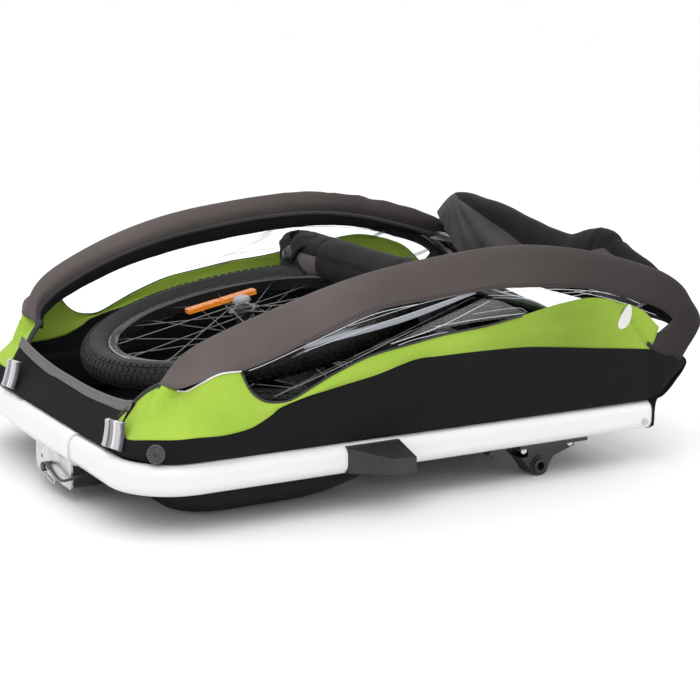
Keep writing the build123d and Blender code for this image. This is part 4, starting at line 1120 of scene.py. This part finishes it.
def head_seams(p):
    seam = 0.0
    for line in (-214.0, -118.0, 118.0, 214.0):
        seam -= 3.0 * math.exp(-((p.y - line) / 4.5) ** 2)
    seam -= 2.0 * math.exp(-((p.z - 279.0) / 3.5) ** 2) if p.x < 78 else 0.0
    return seam + ripple(p, 0.025, 12.0) * 1.2


press(head_pad, head_seams)
paint(head_pad, lambda c: 1 if 118.0 < abs(c.y) < 214.0 and c.z < 279.0 and c.x < 78 else 0)
finish_piece(head_pad, "headrest", "seat_fabric", "headrest_flap")

SEAT_FACE = [(-16, 78), (-16, 84), (-8, 87), (180, 87), (190, 84), (190, 78)]
seat_cushion = box_pad("seat_cushion", SEAT_FACE, 232.0, CHARCOAL, 36)
puff(seat_cushion, 0.005, 1.5, 0.0015)
press(seat_cushion, lambda p: -1.6 * math.exp(-(p.y / 5.0) ** 2) - 1.6 * math.exp(-((p.x - 90.0) / 5.0) ** 2))
finish_piece(seat_cushion, "chassis", "seat_fabric", "seat_pad")

# ------------------------------------------------------------ harness: flat straps laid over the pads
STRAP_THICK = 1.8


def strap(name, path, width, body, turned_by=None):
    """A flat webbing strap along a path in millimetres; its width runs across the path, level
    unless turned_by gives a direction for it."""
    line = flow(path, 8)
    rows = [[], [], []]
    for index, point in enumerate(line):
        run = (line[min(index + 1, len(line) - 1)] - line[max(index - 1, 0)]).normalized()
        across = Vector(turned_by) if turned_by else run.cross(UP)
        across = (across - run * across.dot(run)).normalized()
        for slot, share in enumerate((-0.5, 0.0, 0.5)):
            rows[slot].append(tuple(point + across * width * share))
    obj, size = cloth(name, rows, BLACK_WEBBING, NEAR, STRAP_THICK, 1, 2)
    outward(obj)
    finish_piece(obj, body, "strap_webbing")
    return obj


SHOULDER_STRAPS = {
    "a": [(286, 96, 219), (203, 110, 262), (168, 120, 273), (136, 130, 284)],
    "b": [(286, 236, 219), (203, 205, 262), (168, 190, 273), (136, 176, 284)],
}
HEAD_STRAPS = {
    "a": ([(76, 152, 298), (54, 172, 293), (52, 205, 262), (55, 236, 238)], 1),
    "b": ([(76, 236, 298), (53, 222, 293), (50, 190, 262), (53, 158, 238)], -1),
}
for side, word in SIDES:
    for letter, path in SHOULDER_STRAPS.items():
        path = [(x, side * y, z) for x, y, z in path]
        strap(f"shoulder_strap_{word}_{letter}", path, 38.0, "backrest")
    for letter, (path, lean) in HEAD_STRAPS.items():
        path = [(x, side * y, z) for x, y, z in path]
        strap(f"head_strap_{word}_{letter}", path, 30.0, "headrest", (0.2, side * lean, 0.6))
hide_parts("harness_straps")

GLOSS_BLACK = moulded("buckle_gloss", (0.012, 0.013, 0.018), 0.16, 0.00003)
dress(GLOSS_BLACK, "harness_buckle")

BUCKLE_FORM = [(0, 7.5), (4, 7.2), (9, 5.6), (12.5, 3.0), (14.0, 0.6), (14.0, -1.0), (0, -1.0)]
for side, word in SIDES:
    clasp = disc(f"chest_buckle_{word}", BUCKLE_FORM, (50, side * 200, 272), (-1.0, -0.15, 0.35), GLOSS_BLACK)
    finish_piece(clasp, "headrest", "buckle_plastic")

# ------------------------------------------------------------ folded roof cloth at the rear
ROOF_CREST = [(-320, 286), (-292, 300), (-252, 311), (-214, 322), (-194, 333), (-166, 335), (-134, 330),
              (-105, 320), (-81, 316), (-25, 319), (26, 327), (110, 338), (172, 342), (245, 344), (270, 338),
              (292, 324), (316, 303)]


def roof_row(x, drop, lean=0.0, low=0.0, keep=1.0, foot=None):
    """One fold line of the heap: the crest line moved to x, dropped, and drawn in at the far end."""
    row = []
    for y, z in ROOF_CREST:
        height = z - drop if foot is None else min(z - drop, foot + low * abs(y) / 300.0)
        row.append((x + lean * y / 300.0, y * (keep if y > 0 else 1.0), height))
    return row


roof_rows = [roof_row(378, 90, 10.0, 4.0, 0.58, 244), roof_row(377, 52, 8.0, 6.0, 0.70, 268),
             roof_row(385, 22, 4.0, 0.0, 0.86), roof_row(402, 0, 2.0), roof_row(424, 12, 2.0, 0.0, 0.97),
             roof_row(440, 50, 0.0, 0.0, 0.95, 262), roof_row(446, 96, 0.0, 0.0, 0.93, 205)]
roof_rows = [list(reversed(row)) for row in roof_rows]


def roof_folds(u, v, p):
    gather = math.exp(-((p[1] + 195.0) / 42.0) ** 2)
    tight = ripple(p, 0.07, 22.0, (0.4, 1.3, 0.4)) * 6.0 * gather
    spread = math.atan2(p[1] - 255.0, 350.0 - p[2])
    rays = math.sin(spread * 16.0) * 2.6 * (1.0 - fade(v, 0.42, 0.5)) * fade(p[1], -60, 0)
    soft = ripple(p, 0.018, 21.0, (1.0, 0.9, 1.4)) * 4.0
    from_crest = abs(v - 0.45) / 0.2
    calm = 0.35 + 0.65 * from_crest if from_crest < 1.0 else 1.0
    return (soft + rays + tight) * fade(v, 0.0, 0.1) * calm


roof, size = cloth("folded_roof", roof_rows, HEAP, NEAR, 2.0, 8, 8, roof_folds, LINING)
finish_piece(roof, "cage", "black_fabric", "roof_fabric")

# ------------------------------------------------------------ rear apron, tub, floor cloth, inner bands
def across_rows(section, stations, half):
    """The section's points, each drawn out to a level line from half to -half across the trailer."""
    rows = []
    for x, z in section:
        rows.append([(x, half * (1 - 2 * index / (stations - 1)), z) for index in range(stations)])
    return rows


REAR_SECTION = [(381, 64), (382, 84), (385, 104), (396, 109), (415, 126), (434, 148), (437, 157), (432, 164),
                (422, 168), (410, 170)]


def rear_folds(u, v, p):
    return ripple(p, 0.02, 31.0, (1.0, 0.45, 1.2)) * 3.4 + ripple(p, 0.05, 32.0, (0.4, 0.6, 1.6)) * 1.2


rear_rows = across_rows(REAR_SECTION, 15, 344.0)
rear_apron, size = cloth("rear_apron", rear_rows, BLACK_CLOTH, NEAR, 2.0, 5, 4, rear_folds)
finish_piece(rear_apron, "chassis", "black_fabric")


def rounded_ring(x0, x1, half, radius, count):
    """Points round a rounded rectangle, evenly shared between its corners."""
    ring = []
    for corner, (cx, cy) in enumerate(((x1 - radius, half - radius), (x0 + radius, half - radius),
                                       (x0 + radius, radius - half), (x1 - radius, radius - half))):
        for step in range(count):
            angle = math.pi / 2 * (corner + step / (count - 1))
            ring.append((cx + radius * math.cos(angle), cy + radius * math.sin(angle)))
    return ring


# how far the tub has drawn in, from 0 at its rim to 1 at its floor, and the height there
TUB_LEVELS = [(0.0, 61.5), (0.03, 52.0), (0.16, 41.0), (0.34, 29.0), (0.56, 16.0), (0.80, 5.0), (1.0, 0.9)]
TUB_FRONT, TUB_FRONT_DRAW = -374, 36
TUB_REAR, TUB_REAR_DRAW = -62, 56
TUB_HALF, TUB_HALF_DRAW = 325, 98
TUB_CORNER = 62
TUB_CORNER_POINTS = 16
TUB_INSET = 2.2
TUB_THICK = 2.4


def footwell():
    """The hanging tub: an outer and an inner skin joined at the rim, sagging flat onto the ground."""
    levels = TUB_LEVELS
    inner = [(share, z + TUB_THICK) for share, z in reversed(levels)]
    points, faces = [], []
    count = TUB_CORNER_POINTS
    for index, (share, z) in enumerate(levels + inner):
        inset = TUB_INSET if index >= len(levels) else 0.0
        ring = rounded_ring(TUB_FRONT + TUB_FRONT_DRAW * share + inset,
                            TUB_REAR - TUB_REAR_DRAW * share - inset,
                            TUB_HALF - TUB_HALF_DRAW * share - inset, TUB_CORNER, count)
        for x, y in ring:
            sag = ripple((x, y, z), 0.018, 41.0) * 2.6 * math.sin(math.pi * min(1.0, share))
            points.append(((x + sag) * MM, (y + sag * (1 if y > 0 else -1)) * MM, z * MM))
    width = count * 4
    total = len(levels) + len(inner)
    for ring in range(total - 1):
        for index in range(width):
            a, b = ring * width + index, ring * width + (index + 1) % width
            if ring == len(levels) - 1:
                continue
            faces.append((a, b, b + width, a + width))
    for index in range(width):
        a, b = index, (index + 1) % width
        c, d = (total - 1) * width + (index + 1) % width, (total - 1) * width + index
        faces.append((a, d, c, b))
    faces.append(tuple((len(levels) - 1) * width + index for index in range(width)))
    faces.append(tuple(len(levels) * width + index for index in reversed(range(width))))
    obj = link_mesh("footwell_cloth", points, faces, BLACK_CLOTH)
    outward(obj)
    return obj


tub = footwell()
finish_piece(tub, "chassis", "tub_fabric", "footwell_tub")

floor_rows = across_rows([(-58, 58.6), (60, 58.9), (180, 58.6), (300, 58.9), (366, 58.6)], 9, 296.0)
floor_cloth, size = cloth("floor_cloth", floor_rows, BLACK_CLOTH, NEAR, 2.2, 4, 5)
outward(floor_cloth)
finish_piece(floor_cloth, "chassis", "tub_fabric", "floor_panel")

for side, word in SIDES:
    inner_edge = skirt_rows()[-1]
    path = [(x, y + 1.0, z - 2.0) for x, y, z in flow(inner_edge[:13], 5)]
    binding = roll(f"hoop_binding_{word}", path, 4.2, EDGE_BINDING, side)
    finish_piece(binding, "cage", "sleeve_fabric")
    band_top = [(x, y + 1.0, z - 3.0) for x, y, z in inner_edge[:12]]
    band_low = [(x + 10, y - 4.0, z - 26.0 * math.sin(math.pi * (index + 1.2) / 13.4))
                for index, (x, y, z) in enumerate(inner_edge[:12])]
    band_rows = [band_low, between(band_low, band_top, 0.5, 1.5), band_top]
    band, size = cloth(f"inner_band_{word}", band_rows, BLACK_CLOTH, side, 1.2, 5, 4,
                       lambda u, v, p: ripple(p, 0.03, 51.0) * 1.6)
    finish_piece(band, "cage", "black_fabric")


# ------------------------------------------------------------ inner linings that close the body from inside
well_rows = across_rows([(-414, 112), (-409, 88), (-396, 70), (-373, 62)], 9, 300.0)
well_front, size = cloth("front_lining", well_rows, BLACK_CLOTH, NEAR, 1.6, 4, 4)
outward(well_front)
finish_piece(well_front, "chassis", "black_fabric")
LINING_SECTION = [(-303.5, 60), (-301.5, 86), (-303.5, 124)]
for side, word in SIDES:
    lining_rows = [[(x, y, z) for x in range(-396, 385, 43)] for y, z in LINING_SECTION]
    wall, size = cloth(f"wall_lining_{word}", lining_rows, BLACK_CLOTH, side, 1.4, 2, 4)
    finish_piece(wall, "chassis", "black_fabric")

# ------------------------------------------------------------ polished clips on the front panel
def clip_steel_painted_reflection():
    """Polished plate with a painted reflection: light and dark bands running up it, set into its colour."""
    material, tree, shader = finish_shader("clip_steel", 0.3, 0.7)
    place = place_on(tree, (1, 1, 1), "UV")
    across = add(tree, "ShaderNodeSeparateXYZ", {0: place}).outputs[0]
    drawn = grain(tree, place_on(tree, (60.0, 4.0, 1.0), "UV"), 1.0, 1.0)
    where = reckon(tree, "ADD", across, reckon(tree, "MULTIPLY", reckon(tree, "SUBTRACT", drawn, 0.5), 0.06))
    # painted reflection: the bands across the plate's width stand for what it mirrors
    painted_highlight, pale, mid, dark = (0.86,) * 3, (0.50, 0.50, 0.53), (0.26, 0.26, 0.28), (0.10, 0.09, 0.11)
    bands = [(0.0, painted_highlight), (0.08, pale), (0.24, pale), (0.30, dark), (0.37, dark), (0.44, mid), (0.55, mid),
             (0.60, painted_highlight), (0.68, pale), (0.90, pale), (0.96, dark)]
    tree.links.new(ramp(tree, where, bands), shader.inputs["Base Color"])
    tree.links.new(level(tree, drawn, 0.3, 0.7, 0.34, 0.22), shader.inputs["Roughness"])
    tree.links.new(raised(tree, drawn, 0.0001), shader.inputs["Normal"])
    return material


CLIP_STEEL = clip_steel_painted_reflection()
CLIP_CORNERS = {
    NEAR: ((-440, -212, 108), (-431, -207, 145), (-423, -251, 147), (-431, -258, 109)),
    FAR: ((-441, 196, 107), (-430, 193, 149), (-427, 153, 151), (-438, 153, 109)),
}


# how far the plate stands out, in mm, at shares of its width and of its height
CLIP_BOW = [(0.0, 0.0), (0.05, 3.4), (0.13, 5.2), (0.20, 3.6), (0.27, 3.4), (0.5, 4.8), (0.73, 3.4),
            (0.80, 3.6), (0.87, 5.2), (0.95, 3.4), (1.0, 0.0)]
CLIP_RISE = [(0.0, -3.0), (0.03, 1.2), (0.09, 2.4), (0.15, 0.4), (0.85, 0.4), (0.91, 2.4), (0.97, 1.2),
             (1.0, -3.0)]


def clip(side, word):
    """A pressed plate, bowed across, with a rolled bar at its top and bottom edge."""
    low_left, high_left, high_right, low_right = (Vector(p) for p in CLIP_CORNERS[side])
    out = (high_left - low_left).cross(low_right - low_left).normalized()
    if out.x > 0:
        out = -out
    bow = CLIP_BOW
    rise = CLIP_RISE
    points, faces, spots = [], [], []
    for layer in (0.0, 2.0):
        for v, swell in rise:
            for u, height in bow:
                base = low_left.lerp(high_left, v).lerp(low_right.lerp(high_right, v), u)
                points.append((base + out * (height + swell - layer)) * MM)
                spots.append((u, v))
    across, total = len(bow), len(bow) * len(rise)
    for r in range(len(rise) - 1):
        for c in range(across - 1):
            a = r * across + c
            faces.append((a, a + 1, a + across + 1, a + across))
            faces.append((a + total, a + total + across, a + total + across + 1, a + total + 1))
    edge = list(range(across)) + [r * across + across - 1 for r in range(1, len(rise))]
    edge += list(range(total - 2, total - across - 1, -1)) + [r * across for r in range(len(rise) - 2, 0, -1)]
    for index, a in enumerate(edge):
        b = edge[(index + 1) % len(edge)]
        faces.append((b, a, a + total, b + total))
    obj = link_mesh(f"front_clip_{word}", points, faces, CLIP_STEEL, spots)
    outward(obj)
    soften = obj.modifiers.new("soften", "SUBSURF")
    soften.levels = 2
    settle(obj)
    return obj


clips = [clip(side, word) for side, word in SIDES]
for made in clips:
    finish_piece(made, "chassis", "clip_metal")
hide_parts("reflector_clips")

# ------------------------------------------------------------ repeated details, made with geometry nodes
def repeat_group():
    """A small block repeated along edge paths, turned to the path and to its outward attribute."""
    group = bpy.data.node_groups.new("repeat_along_path", "GeometryNodeTree")
    face = group.interface
    face.new_socket("Paths", in_out="INPUT", socket_type="NodeSocketGeometry")
    for label, value in (("Spacing", 0.004), ("Length", 0.003), ("Width", 0.001), ("Height", 0.0008),
                         ("Unevenness", 0.12)):
        face.new_socket(label, in_out="INPUT", socket_type="NodeSocketFloat").default_value = value
    face.new_socket("Seed", in_out="INPUT", socket_type="NodeSocketInt").default_value = 7
    face.new_socket("Finish", in_out="INPUT", socket_type="NodeSocketMaterial")
    face.new_socket("Pieces", in_out="OUTPUT", socket_type="NodeSocketGeometry")
    given = group.nodes.new("NodeGroupInput").outputs
    curve = add(group, "GeometryNodeMeshToCurve", {0: given["Paths"]})
    spaced = add(group, "GeometryNodeResampleCurve", {"Curve": curve.outputs[0]})
    spaced.mode = "LENGTH"
    group.links.new(given["Spacing"], spaced.inputs["Length"])
    size = add(group, "ShaderNodeCombineXYZ", {0: given["Length"], 1: given["Width"], 2: given["Height"]})
    block = add(group, "GeometryNodeMeshCube", {"Size": size.outputs[0]})
    tangent = add(group, "GeometryNodeInputTangent")
    out = add(group, "GeometryNodeInputNamedAttribute", {"Name": "outward"}, data_type="FLOAT_VECTOR")
    along = add(group, "FunctionNodeAlignRotationToVector", {"Vector": tangent.outputs[0]}, axis="X")
    stood = add(group, "FunctionNodeAlignRotationToVector",
                {"Rotation": along.outputs[0], "Vector": out.outputs[0]}, axis="Z", pivot_axis="X")
    low = reckon(group, "SUBTRACT", 1.0, given["Unevenness"])
    high = reckon(group, "ADD", 1.0, given["Unevenness"])
    uneven = add(group, "FunctionNodeRandomValue", {2: low, 3: high, "Seed": given["Seed"]},
                 data_type="FLOAT")
    placed = add(group, "GeometryNodeInstanceOnPoints",
                 {"Points": spaced.outputs[0], "Instance": block.outputs[0], "Rotation": stood.outputs[0]})
    group.links.new(uneven.outputs[1], placed.inputs["Scale"])
    joined = add(group, "GeometryNodeRealizeInstances", {0: placed.outputs[0]})
    painted = add(group, "GeometryNodeSetMaterial",
                  {"Geometry": joined.outputs[0], "Material": given["Finish"]})
    group.links.new(painted.outputs[0], group.nodes.new("NodeGroupOutput").inputs["Pieces"])
    return group


REPEAT = repeat_group()


def repeated(name, paths, spacing, size, material, seed=7):
    """paths: lists of (point, outward) in metres. size: length, width, height of each block in metres."""
    points, edges, outs = [], [], []
    for path in paths:
        start = len(points)
        for point, out in path:
            points.append(tuple(point))
            outs.append(tuple(out))
        edges += [(start + k, start + k + 1) for k in range(len(path) - 1)]
    mesh = bpy.data.meshes.new(name + "_paths")
    mesh.from_pydata(points, edges, [])
    attribute = mesh.attributes.new("outward", "FLOAT_VECTOR", "POINT")
    attribute.data.foreach_set("vector", [value for out in outs for value in out])
    guide = bpy.data.objects.new(name + "_guide", mesh)
    bpy.context.scene.collection.objects.link(guide)
    modifier = guide.modifiers.new("repeat", "NODES")
    modifier.node_group = REPEAT
    values = {"Spacing": spacing, "Length": size[0], "Width": size[1], "Height": size[2], "Unevenness": 0.12,
              "Seed": seed, "Finish": material}
    for item in REPEAT.interface.items_tree:
        if item.in_out == "INPUT" and item.name in values:
            modifier[item.identifier] = values[item.name]
    depsgraph = bpy.context.evaluated_depsgraph_get()
    made = bpy.data.meshes.new_from_object(guide.evaluated_get(depsgraph))
    bpy.data.objects.remove(guide)
    made.materials.clear()
    made.materials.append(material)
    obj = bpy.data.objects.new(name, made)
    bpy.context.scene.collection.objects.link(obj)
    return obj


TYRE_MIDDLE = 0.231
TREAD_REACH = 0.0224
TREAD_ROWS = ((-62, 0), (-38, 4), (-13, 0), (13, 4), (38, 0), (62, 4))
TREAD_TURNS = 144
for place, spec in WHEELS.items():
    turn = Matrix.Translation(Vector(spec["centre"])) @ Matrix.Rotation(spec["turn"][0], 4, "X") \
        @ Matrix.Rotation(spec["turn"][1], 4, "Y")
    rings = []
    for degrees, shift in TREAD_ROWS:
        tip = math.radians(degrees)
        ring = []
        for step in range(TREAD_TURNS + 1):
            angle = 2 * math.pi * (step + shift * 0.08) / TREAD_TURNS
            out = Vector((math.cos(angle) * math.cos(tip), math.sin(angle) * math.cos(tip), math.sin(tip)))
            middle = Vector((math.cos(angle), math.sin(angle), 0)) * TYRE_MIDDLE
            ring.append((turn @ (middle + out * TREAD_REACH), turn.to_3x3() @ out))
        rings.append(ring)
    tread = repeated(f"{place}_tread", rings, 0.0125, (0.0085, 0.0062, 0.0022), TYRE, 11)
    finish_piece(tread, f"{place}_wheel", "tyre_rubber")


STITCH = (0.0028, 0.0007, 0.0006)
PATCH_STITCH = (0.0019, 0.0009, 0.0006)
STITCH_RINGS = (11.4, 8.2, 5.2)
STITCH_TURNS = 48
HEM_SEAMS = (-5.6, 2.6)
HEM_OUT = (-0.77, 0.0, 0.63)


def skirt_stitches(side, word):
    """A seam just above the hoop cover's foot, standing 1.2 mm off the cloth."""
    line = [(x, y - 1.2, z + 4.0) for x, y, z in SKIRT_FOOT[2:11]]
    path = [(on_body(p, side), (0.0, -1.0 * side * NEAR, 0.0)) for p in flow(line, 8)]
    seam = repeated(f"skirt_stitches_{word}", [path], 0.0044, STITCH, EDGE_BINDING)
    finish_piece(seam, "cage", "sleeve_fabric")


def patch_stitches(side, word):
    """Rings of thread on the round corner patch."""
    across, up = axes_across(PATCH_OUT)
    out = (PATCH_OUT.x, PATCH_OUT.y * side * NEAR, PATCH_OUT.z)
    rings = []
    for radius in STITCH_RINGS:
        ring = []
        for step in range(STITCH_TURNS + 1):
            angle = 2 * math.pi * step / STITCH_TURNS
            p = PATCH_CENTRE + PATCH_OUT * 2.3 + (across * math.cos(angle) + up * math.sin(angle)) * radius
            ring.append((on_body(p, side), out))
        rings.append(ring)
    stitches = repeated(f"patch_stitches_{word}", rings, 0.0033, PATCH_STITCH, THREAD)
    finish_piece(stitches, "chassis", "patch_rubber")


def opening_binding(side, word):
    """The dark binding up the front edge of the side opening."""
    edge = [(x + 1.5, y + 2.5, z) for x, y, z in LIME_HEAD[:4]] + [(-369, -243, 188)]
    hang(roll(f"opening_binding_{word}", flow(edge, 8), 4.0, EDGE_BINDING, side))


for side, word in SIDES:
    skirt_stitches(side, word)
    patch_stitches(side, word)
    opening_binding(side, word)
hem_paths = []
for shift in HEM_SEAMS:
    front_line = [(x - 5.0 + shift * 0.55, y, z + shift) for x, y, z in HEM_LINE]
    hem_paths.append([(on_body(p, NEAR), HEM_OUT) for p in flow(front_line, 8)])
hem_stitches = repeated("hem_stitches", hem_paths, 0.0046, STITCH, THREAD)
finish_piece(hem_stitches, "chassis", "grey_webbing")

# ------------------------------------------------------------ plain floor
floor_mesh = bpy.data.meshes.new("studio_floor")
floor_mesh.from_pydata([(-30, -30, 0), (30, -30, 0), (30, 30, 0), (-30, 30, 0)], [], [(0, 1, 2, 3)])
studio_floor = bpy.data.objects.new("studio_floor", floor_mesh)
bpy.context.scene.collection.objects.link(studio_floor)
floor_paint, floor_tree, floor_shader = finish_shader("studio_floor_paint", 0.9)
floor_cloud = grain(floor_tree, place_on(floor_tree), 1.5, 1.0)
floor_tree.links.new(ramp(floor_tree, floor_cloud, [(0.3, (0.88, 0.88, 0.88)), (0.7, (0.9, 0.9, 0.9))]),
                     floor_shader.inputs["Base Color"])
floor_mesh.materials.append(floor_paint)
